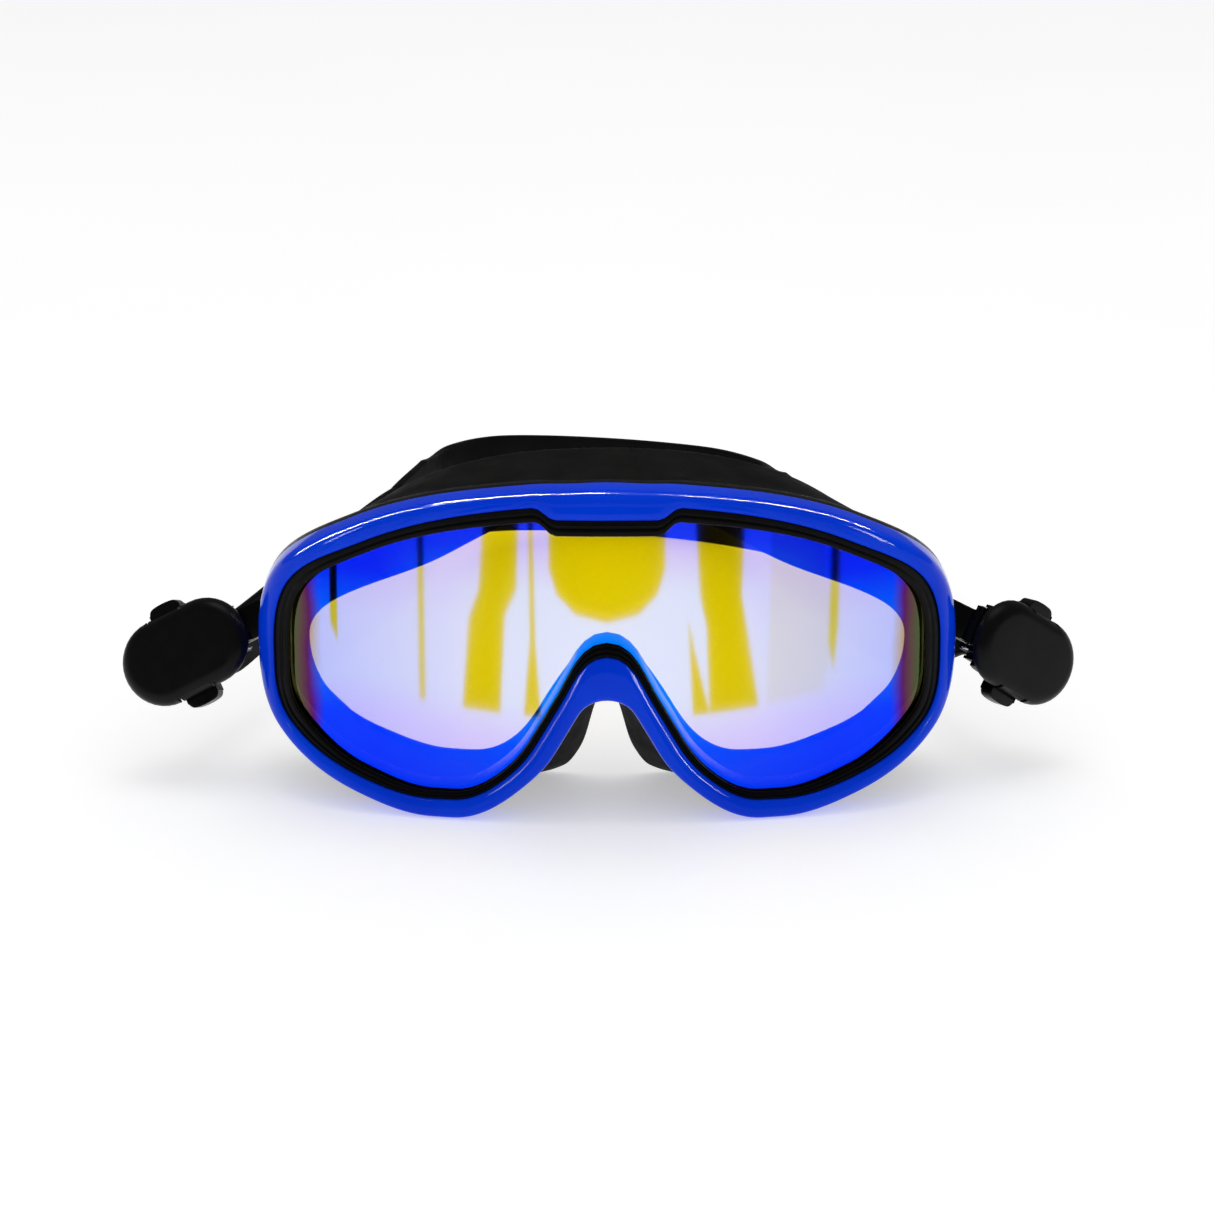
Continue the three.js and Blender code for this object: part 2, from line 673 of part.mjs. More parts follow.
function addBuckle(side) {
  const sign = side === 'left' ? -1 : 1;
  const mirror = new THREE.Matrix4().makeScale(sign, 1, 1);
  const right = buckleMatrix(restAngle[side]);
  const buckle = new THREE.Group();
  buckle.applyMatrix4(new THREE.Matrix4().copy(mirror).multiply(right).multiply(mirror));
  goggles.add(buckle);
  const add = (name, geometry, material) => {
    addPart(buckle, `${name}_${side}`, closed(geometry.clone().applyMatrix4(mirror)), material);
  };
  add('buckle_base', buckleBase(), blackSatin);
  add('buckle_cover', buckleCover(), blackMatte);
  add('button_upper', releaseButton(), blackSatin);
  add('button_lower', releaseButton().applyMatrix4(lowerSide), blackSatin);
  add('spring_upper', buttonSpring(), steel);
  add('spring_lower', buttonSpring().applyMatrix4(lowerSide), steel);
  add('strap_roller', strapRoller(), blackSatin);
  add('roller_pin', pin(rollerSpot, pinRadius, wallOuter), steel);
  add('pawl', pawl(), blackSatin);
  add('pawl_pin', pin(pawlSpot, pawlPinRadius, wallOuter), steel);
  add('hinge_pin', pin([0, 0], pinRadius, eyeOuter), steel);
  add('strap_end', strapEnd(), softBlack);
  add('strap_keeper', strapKeeper(), blackMatte);
  addPart(goggles, `strap_side_${side}`, strapSide(side), softBlack);
  addPart(goggles, `strap_fork_${side}`, strapFork(side), softBlack);
}
addBuckle('left');
addBuckle('right');
addPart(goggles, 'strap_rear_upper', rearBand(1), softBlack);
addPart(goggles, 'strap_rear_lower', rearBand(-1), softBlack);

// Bring the middle of the depth to the origin. The lobes already stand at height zero.
const strapBack = routeRear[1] + strapThick / 2;
goggles.position.y = -strapBack / 2;

export default goggles;
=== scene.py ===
# Wide-view swim goggles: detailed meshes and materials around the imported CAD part.
# Lengths are in millimetres with the front surface at y = 0 until placed() turns them into metres.
# The floor, lights and camera are placed in metres.
import json
import math

import bpy
import numpy as np
from mathutils import Matrix, Vector


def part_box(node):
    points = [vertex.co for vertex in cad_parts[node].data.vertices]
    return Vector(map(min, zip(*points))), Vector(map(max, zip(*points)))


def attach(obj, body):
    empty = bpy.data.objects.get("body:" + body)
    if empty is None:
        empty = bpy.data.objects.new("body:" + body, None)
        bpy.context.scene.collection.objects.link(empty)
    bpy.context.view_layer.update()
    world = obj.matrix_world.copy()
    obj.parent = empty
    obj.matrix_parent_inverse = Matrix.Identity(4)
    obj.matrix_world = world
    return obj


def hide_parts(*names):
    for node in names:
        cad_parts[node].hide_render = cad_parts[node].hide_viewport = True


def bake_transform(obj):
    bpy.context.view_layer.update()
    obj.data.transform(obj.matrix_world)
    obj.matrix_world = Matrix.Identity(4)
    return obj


MM = 0.001
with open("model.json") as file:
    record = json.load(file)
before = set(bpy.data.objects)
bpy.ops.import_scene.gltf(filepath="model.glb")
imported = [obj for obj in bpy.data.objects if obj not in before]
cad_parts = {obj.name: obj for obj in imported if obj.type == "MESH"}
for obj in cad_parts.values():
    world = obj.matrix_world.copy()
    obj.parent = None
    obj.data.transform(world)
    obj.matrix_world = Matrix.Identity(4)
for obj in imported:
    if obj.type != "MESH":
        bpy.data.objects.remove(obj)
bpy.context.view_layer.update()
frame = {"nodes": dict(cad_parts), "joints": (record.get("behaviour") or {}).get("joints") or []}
front_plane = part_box("front_rim")[0].y / MM
joints = {j["name"]: j for j in frame["joints"]}
scene = bpy.context.scene
scene.view_settings.view_transform = "Standard"


# ---- mesh helpers
def placed(points):
    """Millimetre points behind the front surface, as metres in the row frame."""
    moved = np.array(points, float).reshape(-1, 3)
    moved[:, 1] += front_plane
    return moved * MM


def outward(mesh):
    """Turns a closed mesh's faces outward, by the sign of its volume."""
    volume = 0.0
    for face in mesh.polygons:
        corners = [mesh.vertices[i].co for i in face.vertices]
        for k in range(1, len(corners) - 1):
            volume += corners[0].dot(corners[k].cross(corners[k + 1]))
    if volume < 0:
        mesh.flip_normals()


def piece(name, metres, faces, material=None):
    """A smooth object from points in metres, with its faces turned outward."""
    mesh = bpy.data.meshes.new(name)
    mesh.from_pydata([tuple(p) for p in metres], [], faces)
    mesh.validate()
    outward(mesh)
    mesh.polygons.foreach_set("use_smooth", [True] * len(mesh.polygons))
    if material is not None:
        mesh.materials.append(material)
    obj = bpy.data.objects.new(name, mesh)
    scene.collection.objects.link(obj)
    return obj


def grid_faces(rows, columns, wrap_rows, wrap_columns, start=0):
    """Quads of a grid whose vertex (i, j) is number start + i * columns + j."""
    i = np.arange(rows if wrap_rows else rows - 1)[:, None]
    j = np.arange(columns if wrap_columns else columns - 1)[None, :]
    a = i * columns + j
    b = i * columns + (j + 1) % columns
    c = ((i + 1) % rows) * columns + (j + 1) % columns
    d = ((i + 1) % rows) * columns + j
    return (np.stack([a, b, c, d], -1).reshape(-1, 4) + start).tolist()


def sharpen(obj, degrees):
    """Keeps the edges sharper than this angle crisp and leaves the rest smooth."""
    obj.data.set_sharp_from_angle(angle=math.radians(degrees))
    return obj


def applied(obj):
    """Turns the object's modifiers into its mesh."""
    bpy.context.view_layer.update()
    graph = bpy.context.evaluated_depsgraph_get()
    mesh = bpy.data.meshes.new_from_object(obj.evaluated_get(graph))
    obj.modifiers.clear()
    old = obj.data
    obj.data = mesh
    mesh.name = obj.name
    bpy.data.meshes.remove(old)
    return obj


def bevelled(obj, width, segments, degrees=30):
    """Bevels the edges sharper than this angle, by a width in millimetres."""
    bevel = obj.modifiers.new("edges", "BEVEL")
    bevel.width = width * MM
    bevel.segments = segments
    bevel.limit_method = "ANGLE"
    bevel.angle_limit = math.radians(degrees)
    bevel.use_clamp_overlap = True
    applied(obj)
    obj.data.polygons.foreach_set("use_smooth", [True] * len(obj.data.polygons))
    return sharpen(obj, 50)


def combined(obj, others, operation):
    """Adds the other closed objects to obj, or cuts them out of it, and removes them."""
    for other in others:
        step = obj.modifiers.new("combine", "BOOLEAN")
        step.operation = operation
        step.object = other
        step.solver = "EXACT"
        applied(obj)
        bpy.data.objects.remove(other)
    return obj


# ---- front outlines
WRAP_RADIUS = 230
WRAP_HALF = 58
SIDE_RADIUS = 40
FRAME_HALF = 82.1
REAR_HALF = 75.5
FRAME_HEIGHT = 81.3
NOSE_TOP = 30.1
wrap_turn = math.asin(WRAP_HALF / WRAP_RADIUS)
side_x = WRAP_HALF - SIDE_RADIUS * math.sin(wrap_turn)
side_y = WRAP_RADIUS * (1 - math.cos(wrap_turn)) + SIDE_RADIUS * math.cos(wrap_turn)


def wrap(x):
    """How far back the front surface lies at each x."""
    across = np.abs(np.asarray(x, float))
    middle = WRAP_RADIUS - np.sqrt(WRAP_RADIUS**2 - np.minimum(across, WRAP_HALF) ** 2)
    sine = np.clip((across - side_x) / SIDE_RADIUS, 0, 1)
    return np.where(across <= WRAP_HALF, middle, side_y - SIDE_RADIUS * np.sqrt(1 - sine**2))


# Stations down the right half of the rim, from the brow middle round to the nose middle:
# x, z, heading in degrees, width of the blue rim, width of the black seal.
STATIONS = [
    (0, FRAME_HEIGHT, 0, 7.1, 4.2),
    (11.6, 80.9, 0, 6.7, 4.2),
    (17.4, 80.6, -6, 3.6, 3.8),
    (57.5, 71, -26, 4.4, 3.1),
    (75.7, 58.2, -52, 3.8, 3.4),
    (FRAME_HALF, 36.5, -90, 4.2, 3.8),
    (77.1, 16.7, -132, 3.9, 3.8),
    (59, 4.8, -157, 4, 2.4),
    (41, 0, -180, 4.5, 1.7),
    (36, 0, -180, 4.6, 1.6),
    (20.5, 7.4, -221, 4.3, 1.4),
    (12.2, 16.6, -240, 4.9, 1.5),
    (6.4, 26.8, -240, 4.9, 1.5),
    (0, NOSE_TOP, -180, 10.9, 2.6),
]
# The same stations on the rear edge of the skirt and on the edge of its face opening.
REAR = [
    (0, 82.2, 0), (11.6, 81.7, -4), (17.4, 81.1, -8), (50, 69, -36), (68, 52.5, -54),
    (REAR_HALF, 34, -90), (69, 15, -130), (54, 3.4, -157), (38, 0, -180), (22, 0, -180),
    (10, 2.2, -208), (6.6, 6.2, -238), (3.6, 15, -255), (0, 20.5, -180),
]
OPENING = [
    (0, 67, 0), (11, 66.5, -5), (17, 65, -14), (40, 53, -30), (61, 42.5, -30),
    (71.5, 30, -90), (66, 15.5, -135), (54, 8.6, -162), (38, 5, -180), (31, 5.2, -185),
    (20, 11.5, -230), (14.5, 20, -240), (9.5, 27.8, -235), (0, 32, -180),
]
SPACING = 1.3  # mm between outline points


def span_steps(k):
    a, b = STATIONS[k], STATIONS[k + 1]
    return max(4, round(math.hypot(b[0] - a[0], b[1] - a[1]) / SPACING))


def bezier(p, t):
    """Points of the cubic curve with the control points p, at the shares t."""
    s = 1 - t
    return s**3 * p[0] + 3 * s**2 * t * p[1] + 3 * s * t**2 * p[2] + t**3 * p[3]


def outline(stations):
    """The closed outline through the headed stations and their mirror images, as x and z."""
    half = []
    for k in range(len(stations) - 1):
        (x0, z0, t0), (x1, z1, t1) = stations[k][:3], stations[k + 1][:3]
        chord = math.hypot(x1 - x0, z1 - z0)
        bend = math.radians(abs(t1 - t0))
        handle = chord / 3
        if bend > 0.01:
            handle = chord * 2 * math.tan(bend / 4) / (3 * math.sin(bend / 2))
        a, b = math.radians(t0), math.radians(t1)
        p = np.array([
            (x0, z0),
            (x0 + handle * math.cos(a), z0 + handle * math.sin(a)),
            (x1 - handle * math.cos(b), z1 - handle * math.sin(b)),
            (x1, z1),
        ])
        t = (np.arange(span_steps(k)) / span_steps(k))[:, None]
        half.append(bezier(p, t))
    half = np.concatenate(half + [np.array([stations[-1][:2]], float)])
    mirrored = half[1:-1][::-1] * [-1, 1]
    return np.concatenate([half, mirrored])


def inward(distances):
    """The stations moved inward, square to their headings."""
    moved = []
    for (x, z, turn, *_), distance in zip(STATIONS, distances):
        a = math.radians(turn)
        moved.append((x + distance * math.sin(a), z - distance * math.cos(a), turn))
    return outline(moved)


rim_widths = [station[3] for station in STATIONS]
seal_widths = [station[4] for station in STATIONS]
rim_outer = inward([0] * len(STATIONS))
rim_inner = inward(rim_widths)
lens_edge = inward([sum(widths) for widths in zip(rim_widths, seal_widths)])
skirt_rear = outline(REAR)
face_opening = outline(OPENING)


def share(a, b, part):
    """The place that is this part of the way from a to b."""
    return a + (b - a) * part


def stepped(a, b, distance):
    """Points moved from a toward b by a distance."""
    way = b - a
    return a + way / np.linalg.norm(way, axis=1, keepdims=True) * distance


def behind(points, depth):
    """An outline laid at a depth behind the curved front surface."""
    return np.stack([points[:, 0], wrap(points[:, 0]) + depth, points[:, 1]], 1)


SKIRT_DEPTH, TEMPLE_DEPTH = 33, 17  # depth of the skirt in the middle, and what its sides add


def skirt_rear_at(x):
    """How far back the rear edge of the skirt lies at each x."""
    return SKIRT_DEPTH + TEMPLE_DEPTH * (x / REAR_HALF) ** 2


def before_rear(points, distance):
    """An outline laid at a distance in front of the skirt's rear edge."""
    return np.stack([points[:, 0], skirt_rear_at(points[:, 0]) - distance, points[:, 1]], 1)


MOST_OF_A_SIDE = 0.46  # a rounded corner takes no more than this part of each side


def ring(name, corners, rounds, material, arc=3):
    """A ring carried round the outline. Each section corner is rounded by its own distance."""
    count = len(corners)
    columns = []
    for k in range(count):
        before, here, after = corners[k - 1], corners[k], corners[(k + 1) % count]
        if rounds[k] == 0:
            columns.append(here)
            continue
        ends = []
        for other in (before, after):
            way = other - here
            length = np.linalg.norm(way, axis=1, keepdims=True)
            ends.append(here + way / length * np.minimum(rounds[k], MOST_OF_A_SIDE * length))
        for i in range(arc + 1):
            t = i / arc
            columns.append((1 - t) ** 2 * ends[0] + 2 * t * (1 - t) * here + t**2 * ends[1])
    section = np.stack(columns, 1)
    rows, width = section.shape[:2]
    return piece(name, placed(section), grid_faces(rows, width, True, True), material)


# ---- materials
NOISE_LOW, NOISE_HIGH = 0.3, 0.7  # nearly all of a noise texture lies between these


class Look:
    """A Principled material whose colour, roughness and relief vary by noise in object space."""

    def __init__(self, name, colour, roughness, specular=0.5, **sockets):
        self.material = bpy.data.materials.new(name)
        self.material.use_nodes = True
        self.tree = self.material.node_tree
        self.shader = self.tree.nodes["Principled BSDF"]
        self.shader.inputs["Base Color"].default_value = (*colour, 1)
        self.shader.inputs["Roughness"].default_value = roughness
        self.shader.inputs["Specular IOR Level"].default_value = specular
        for socket, value in sockets.items():
            self.shader.inputs[socket.replace("_", " ")].default_value = value
        self.coords = self.node("ShaderNodeTexCoord").outputs["Object"]
        self.relief = None

    def node(self, kind, **settings):
        made = self.tree.nodes.new(kind)
        for key, value in settings.items():
            setattr(made, key, value)
        return made

    def join(self, output, target):
        self.tree.links.new(output, target)

    def noise(self, size, detail=3, stretch=(1, 1, 1)):
        """Noise with patches about size millimetres across, stretched along the axes."""
        scaled = self.node("ShaderNodeMapping")
        scaled.inputs["Scale"].default_value = [1 / (size * MM * s) for s in stretch]
        self.join(self.coords, scaled.inputs["Vector"])
        texture = self.node("ShaderNodeTexNoise")
        texture.inputs["Scale"].default_value = 1
        texture.inputs["Detail"].default_value = detail
        self.join(scaled.outputs["Vector"], texture.inputs["Vector"])
        return texture.outputs["Fac"]

    def ramp(self, value, stops):
        """A colour picked by the value from a list of places and colours."""
        made = self.node("ShaderNodeValToRGB")
        made.color_ramp.interpolation = "LINEAR"
        while len(made.color_ramp.elements) < len(stops):
            made.color_ramp.elements.new(0.5)
        for element, (place, colour) in zip(made.color_ramp.elements, stops):
            element.position = place
            element.color = (*colour, 1)
        self.join(value, made.inputs["Fac"])
        return made.outputs["Color"]

    def span(self, value, low, high, to_low, to_high):
        """The value carried from one range to another and held within it."""
        made = self.node("ShaderNodeMapRange")
        for socket, number in zip(("From Min", "From Max", "To Min", "To Max"), (low, high, to_low, to_high)):
            made.inputs[socket].default_value = number
        self.join(value, made.inputs["Value"])
        return made.outputs["Result"]

    def maths(self, operation, first, second=None):
        made = self.node("ShaderNodeMath", operation=operation)
        for socket, value in zip(made.inputs, (first, second)):
            if isinstance(value, (int, float)):
                socket.default_value = value
            elif value is not None:
                self.join(value, socket)
        return made.outputs["Value"]

    def mixed(self, factor, first, second):
        """Two colours mixed by a factor."""
        made = self.node("ShaderNodeMix", data_type="RGBA")
        for value, socket in ((factor, "Factor"), (first, "A"), (second, "B")):
            self.join(value, made.inputs[socket])
        return made.outputs["Result"]

    def mottle(self, dark, light, size):
        """Colour that drifts between two shades."""
        self.colour = self.ramp(self.noise(size, 4), [(NOISE_LOW, dark), (NOISE_HIGH, light)])
        self.join(self.colour, self.shader.inputs["Base Color"])
        return self

    def uneven(self, low, high, size, stretch=(1, 1, 1)):
        """Roughness that drifts between two values."""
        value = self.span(self.noise(size, 4, stretch), NOISE_LOW, NOISE_HIGH, low, high)
        self.join(value, self.shader.inputs["Roughness"])
        return self

    def grain(self, size, height, stretch=(1, 1, 1)):
        """Relief about height millimetres high."""
        bump = self.node("ShaderNodeBump")
        bump.inputs["Distance"].default_value = height * MM
        self.join(self.noise(size, 2, stretch), bump.inputs["Height"])
        if self.relief is not None:
            self.join(self.relief, bump.inputs["Normal"])
        self.relief = bump.outputs["Normal"]
        self.join(self.relief, self.shader.inputs["Normal"])
        return self

    def dust(self, spacing, radius, colour, keep):
        """Sparse pale specks, one in some of the cells that are spacing millimetres across."""
        cells = self.node("ShaderNodeTexVoronoi")
        cells.inputs["Scale"].default_value = 1 / (spacing * MM)
        self.join(self.coords, cells.inputs["Vector"])
        near = self.maths("LESS_THAN", cells.outputs["Distance"], radius / spacing)
        some = self.maths("LESS_THAN", cells.outputs["Color"], keep)
        mix = self.node("ShaderNodeMix", data_type="RGBA")
        self.join(self.maths("MULTIPLY", near, some), mix.inputs["Factor"])
        self.join(self.colour, mix.inputs["A"])
        mix.inputs["B"].default_value = (*colour, 1)
        self.join(mix.outputs["Result"], self.shader.inputs["Base Color"])
        return self


rim_look = (
    Look("moulded_blue_gloss", (0.0004, 0.042, 0.72), 0.07, specular=0.08)
    .mottle((0.0003, 0.036, 0.68), (0.0005, 0.052, 0.8), 30)
    .uneven(0.04, 0.09, 9)
    .grain(6, 0.012)
    .grain(0.7, 0.0012)
)
seal_look = (
    Look("black_seal", (0.001, 0.001, 0.0012), 0.35, specular=0.08)
    .mottle((0.0008, 0.0008, 0.001), (0.0016, 0.0016, 0.0018), 3)
    .uneven(0.28, 0.45, 2)
    .grain(0.5, 0.004)
)
frame_look = (
    Look("black_frame_plastic", (0.001, 0.001, 0.0011), 0.3, specular=0.12)
    .mottle((0.0008, 0.0008, 0.0009), (0.0016, 0.0016, 0.0017), 5)
    .uneven(0.22, 0.38, 3)
    .grain(0.35, 0.004)
)
skirt_look = (
    Look("matte_silicone_skirt", (0.01, 0.01, 0.0098), 0.6, specular=0.05)
    .mottle((0.008, 0.008, 0.0077), (0.0125, 0.0125, 0.0122), 7)
    .uneven(0.55, 0.7, 4)
    .grain(0.45, 0.02)
    .dust(7, 0.16, (0.6, 0.6, 0.58), 0.3)
)
strap_look = (
    Look("silicone_strap", (0.003, 0.003, 0.0029), 0.48, specular=0.08)
    .mottle((0.002, 0.002, 0.0019), (0.0038, 0.0037, 0.0036), 8)
    .uneven(0.4, 0.58, 5)
    .grain(0.4, 0.012)
    .dust(11, 0.14, (0.45, 0.45, 0.44), 0.25)
)
cover_look = (
    Look("satin_black_cover", (0.003, 0.003, 0.0031), 0.34, specular=0.13)
    .mottle((0.0022, 0.0022, 0.0023), (0.0036, 0.0036, 0.0037), 4)
    .uneven(0.3, 0.42, 3)
    .grain(0.3, 0.006)
)
buckle_look = (
    Look("black_buckle_plastic", (0.002, 0.002, 0.0021), 0.28, specular=0.16)
    .mottle((0.0014, 0.0014, 0.0015), (0.0026, 0.0026, 0.0027), 3)
    .uneven(0.2, 0.36, 2)
    .grain(0.3, 0.004)
)
steel_look = (
    Look("brushed_steel", (0.55, 0.56, 0.58), 0.3, Metallic=1)
    .mottle((0.5, 0.51, 0.53), (0.62, 0.63, 0.64), 1)
    .uneven(0.22, 0.42, 0.3, (1, 1, 6))
    .grain(0.1, 0.002, (1, 1, 8))
)


def lens_look():
    """Interference mirror over a yellow tint: it mirrors blue and lets yellow through. Its coat colour holds
    painted reflection: a lighter band across the middle, deeper blue toward the top, and violet and then
    green where the lens curls away at its sides. The yellow tint darkens toward the sides as painted shade."""
    look = Look("mirror_coated_lens", (0, 0.05, 1), 0.03, Metallic=1)
    split = look.node("ShaderNodeSeparateXYZ")
    look.join(look.coords, split.inputs["Vector"])
    across = look.maths("ABSOLUTE", split.outputs["X"])
    reach = 80 * MM  # the ramps run over this distance, across from the middle and up from the floor
    drift = look.span(look.noise(16, 2), NOISE_LOW, NOISE_HIGH, -0.6 * MM, 0.6 * MM)
    spread = look.span(look.maths("ADD", across, drift), 0, reach, 0, 1)
    upward = look.span(split.outputs["Z"], 0, reach, 0, 1)
    # Painted reflection: the coat colour is lighter and greener in a band across the middle, where the lens
    # mirrors pale surroundings, and deeper blue toward the top, where it mirrors darker things.
    middle = look.ramp(upward, [
        (0.1, (0, 0.05, 1)), (0.22, (0, 0.07, 1)), (0.36, (0, 0.2, 0.96)), (0.7, (0, 0.2, 0.94)),
        (0.84, (0, 0.04, 0.9)), (0.95, (0, 0.01, 0.85)),
    ])
    outer = look.ramp(upward, [
        (0.1, (0, 0.03, 0.98)), (0.3, (0, 0.04, 0.98)), (0.42, (0, 0.12, 0.94)), (0.6, (0, 0.1, 0.92)),
        (0.74, (0, 0.015, 0.88)), (0.95, (0, 0.006, 0.82)),
    ])
    # Painted reflection: violet and then green coat colour on the curled sides, the colour shift the coating
    # shows at a grazing angle, fixed in place.
    side = look.ramp(spread, [
        (0.75, (0, 0, 0.02)), (0.86, (0.1, 0, 0.1)), (0.89, (0.1, 0.06, 0.05)),
        (0.92, (0.03, 0.12, 0.03)), (0.94, (0.02, 0.2, 0.06)),
    ])
    face = look.mixed(look.span(across, 22 * MM, 52 * MM, 0, 1), middle, outer)
    coat_with_painted_reflection = look.mixed(look.span(spread, 0.825, 0.866, 0, 1), face, side)
    look.join(coat_with_painted_reflection, look.shader.inputs["Base Color"])
    look.uneven(0.065, 0.085, 20)
    clear = look.node("ShaderNodeBsdfTransparent")
    # The yellow see-through tint, darkened and turned olive toward the curled sides: the real tint with
    # painted shade at the sides.
    tint = look.ramp(spread, [
        (0, (0.8, 0.62, 0)), (0.4, (0.77, 0.6, 0)), (0.65, (0.63, 0.54, 0)), (0.82, (0.53, 0.45, 0.01)),
        (0.94, (0.16, 0.18, 0.08)),
    ])
    look.join(tint, clear.inputs["Color"])
    both = look.node("ShaderNodeAddShader")
    look.join(look.shader.outputs["BSDF"], both.inputs[0])
    look.join(clear.outputs["BSDF"], both.inputs[1])
    output = look.tree.nodes["Material Output"]
    look.join(both.outputs["Shader"], output.inputs["Surface"])
    return look.material


def clear_look():
    """The uncoated back of the lens: clear with a faint shine."""
    look = Look("lens_back", (0.9, 0.9, 0.9), 0.05)
    clear = look.node("ShaderNodeBsdfTransparent")
    stops = [(NOISE_LOW, (0.98, 0.98, 0.96)), (NOISE_HIGH, (1, 1, 0.98))]
    look.join(look.ramp(look.noise(40, 2), stops), clear.inputs["Color"])
    shine = look.node("ShaderNodeBsdfGlossy")
    shine.inputs["Roughness"].default_value = 0.05
    fresnel = look.node("ShaderNodeFresnel")
    fresnel.inputs["IOR"].default_value = 1.3
    both = look.node("ShaderNodeMixShader")
    look.join(fresnel.outputs["Fac"], both.inputs["Fac"])
    look.join(clear.outputs["BSDF"], both.inputs[1])
    look.join(shine.outputs["BSDF"], both.inputs[2])
    look.tree.nodes.remove(look.shader)
    look.join(both.outputs["Shader"], look.tree.nodes["Material Output"].inputs["Surface"])
    return look.material


# ---- front pieces
GAP = 0.4
# Depths behind the curved front surface.
LIP, RIM_DEPTH = 3, 8
SEAL_FRONT, SEAL_BACK = 1.7, 3.2
LENS_FRONT, LENS_BACK = 3.6, 5.8
FRAME_TONGUE, FRAME_FLANGE, FRAME_BACK = 6.2, 8.4, 12
SKIRT_FRONT = 12.4


# Outlines this part of the way across the rim or the seal, at a depth.
def rim_at(part, depth):
    return behind(share(rim_outer, rim_inner, part), depth)


def seal_at(part, depth):
    return behind(share(rim_inner, lens_edge, part), depth)


rim = ring(
    "rim_bezel",
    [
        rim_at(0, 1.9), rim_at(0.14, 0.5), rim_at(0.42, 0), rim_at(0.8, 0.25), rim_at(1, 1.2),
        rim_at(1, LIP), rim_at(0.54, LIP), rim_at(0.54, RIM_DEPTH), rim_at(0, RIM_DEPTH),
    ],
    [1.2, 0.9, 1.2, 0.8, 0.35, 0.25, 0.25, 0.25, 0.4],
    rim_look.material,
    4,
)
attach(rim, "frame")
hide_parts("front_rim")

seal_outside = stepped(rim_inner, lens_edge, GAP * 0.4)
seal = ring(
    "lens_seal",
    [
        behind(seal_outside, SEAL_FRONT),
        behind(share(seal_outside, lens_edge, 0.34), SEAL_FRONT - 0.05),
        behind(share(seal_outside, lens_edge, 0.48), SEAL_FRONT + 0.45),
        behind(share(seal_outside, lens_edge, 0.62), SEAL_FRONT + 0.1),
        seal_at(1, SEAL_FRONT + 0.5),
        seal_at(1, SEAL_BACK),
        behind(seal_outside, SEAL_BACK),
    ],
    [0.25, 0.3, 0.25, 0.4, 0.5, 0.15, 0.15],
    seal_look.material,
)
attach(seal, "frame")
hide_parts("lens_gasket")


def height_at(edge, x):
    """Lowest and highest z of the right half of an outline at each x from 0 to its widest."""
    half = edge[: len(edge) // 2 + 1]
    widest = int(np.argmax(half[:, 0]))
    top, bottom = half[: widest + 1], half[widest:][::-1]
    return np.interp(x, bottom[:, 0], bottom[:, 1]), np.interp(x, top[:, 0], top[:, 1])


def lens_piece():
    """The curved lens: a coated front sheet, a clear back sheet and the wall between them."""
    edge = share(rim_outer, rim_inner, 0.64)
    widest = edge[:, 0].max()
    half = widest * np.sin(np.linspace(0, math.pi / 2, 150))
    x = np.concatenate([-half[:0:-1], half])
    low, high = height_at(edge, np.abs(x))
    rows, columns = len(x), 40
    t = np.linspace(0, 1, columns)
    z = low[:, None] + (high - low)[:, None] * t
    sheets = []
    for depth in (LENS_FRONT, LENS_BACK):
        y = np.repeat((wrap(x) + depth)[:, None], columns, 1)
        sheets.append(np.stack([np.repeat(x[:, None], columns, 1), y, z], -1).reshape(-1, 3))
    count = rows * columns
    faces = grid_faces(rows, columns, False, False)
    coated = len(faces)
    faces += [f[::-1] for f in grid_faces(rows, columns, False, False, count)]
    border = [i * columns for i in range(rows)] + [(rows - 1) * columns + j for j in range(1, columns)]
    border += [i * columns + columns - 1 for i in range(rows - 2, -1, -1)] + list(range(columns - 2, 0, -1))
    for a, b in zip(border, border[1:] + border[:1]):
        faces.append([b, a, a + count, b + count])
    obj = piece("lens_shield", placed(np.concatenate(sheets)), faces, lens_look())
    obj.data.materials.append(clear_look())
    for face in obj.data.polygons:
        face.material_index = 0 if face.index < coated else 1
    return sharpen(obj, 50)


lens = lens_piece()
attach(lens, "frame")
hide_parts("lens")

inner = ring(
    "inner_frame_ring",
    [
        rim_at(0.64, FRAME_TONGUE), seal_at(1, FRAME_TONGUE), seal_at(1, FRAME_BACK),
        rim_at(0.08, FRAME_BACK), rim_at(0.08, FRAME_FLANGE), rim_at(0.64, FRAME_FLANGE),
    ],
    [0.2, 0.3, 0.3, 0.4, 0.4, 0.2],
    frame_look.material,
)
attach(inner, "frame")
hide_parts("inner_frame")


SKIRT_MIDDLE = np.array([0, 44.0])  # x and z that the skirt's walls bulge away from


def between(front_points, rear_points, part, inset, bulge=0.0):
    """Part of the way from the skirt's front edge to its rear edge, pushed out by bulge."""
    flat = share(front_points, rear_points, part)
    way = flat - SKIRT_MIDDLE
    flat = flat + way / np.linalg.norm(way, axis=1, keepdims=True) * bulge
    y = (wrap(flat[:, 0]) + SKIRT_FRONT) * (1 - part) + (skirt_rear_at(flat[:, 0]) - inset) * part
    return np.stack([flat[:, 0], y, flat[:, 1]], 1)


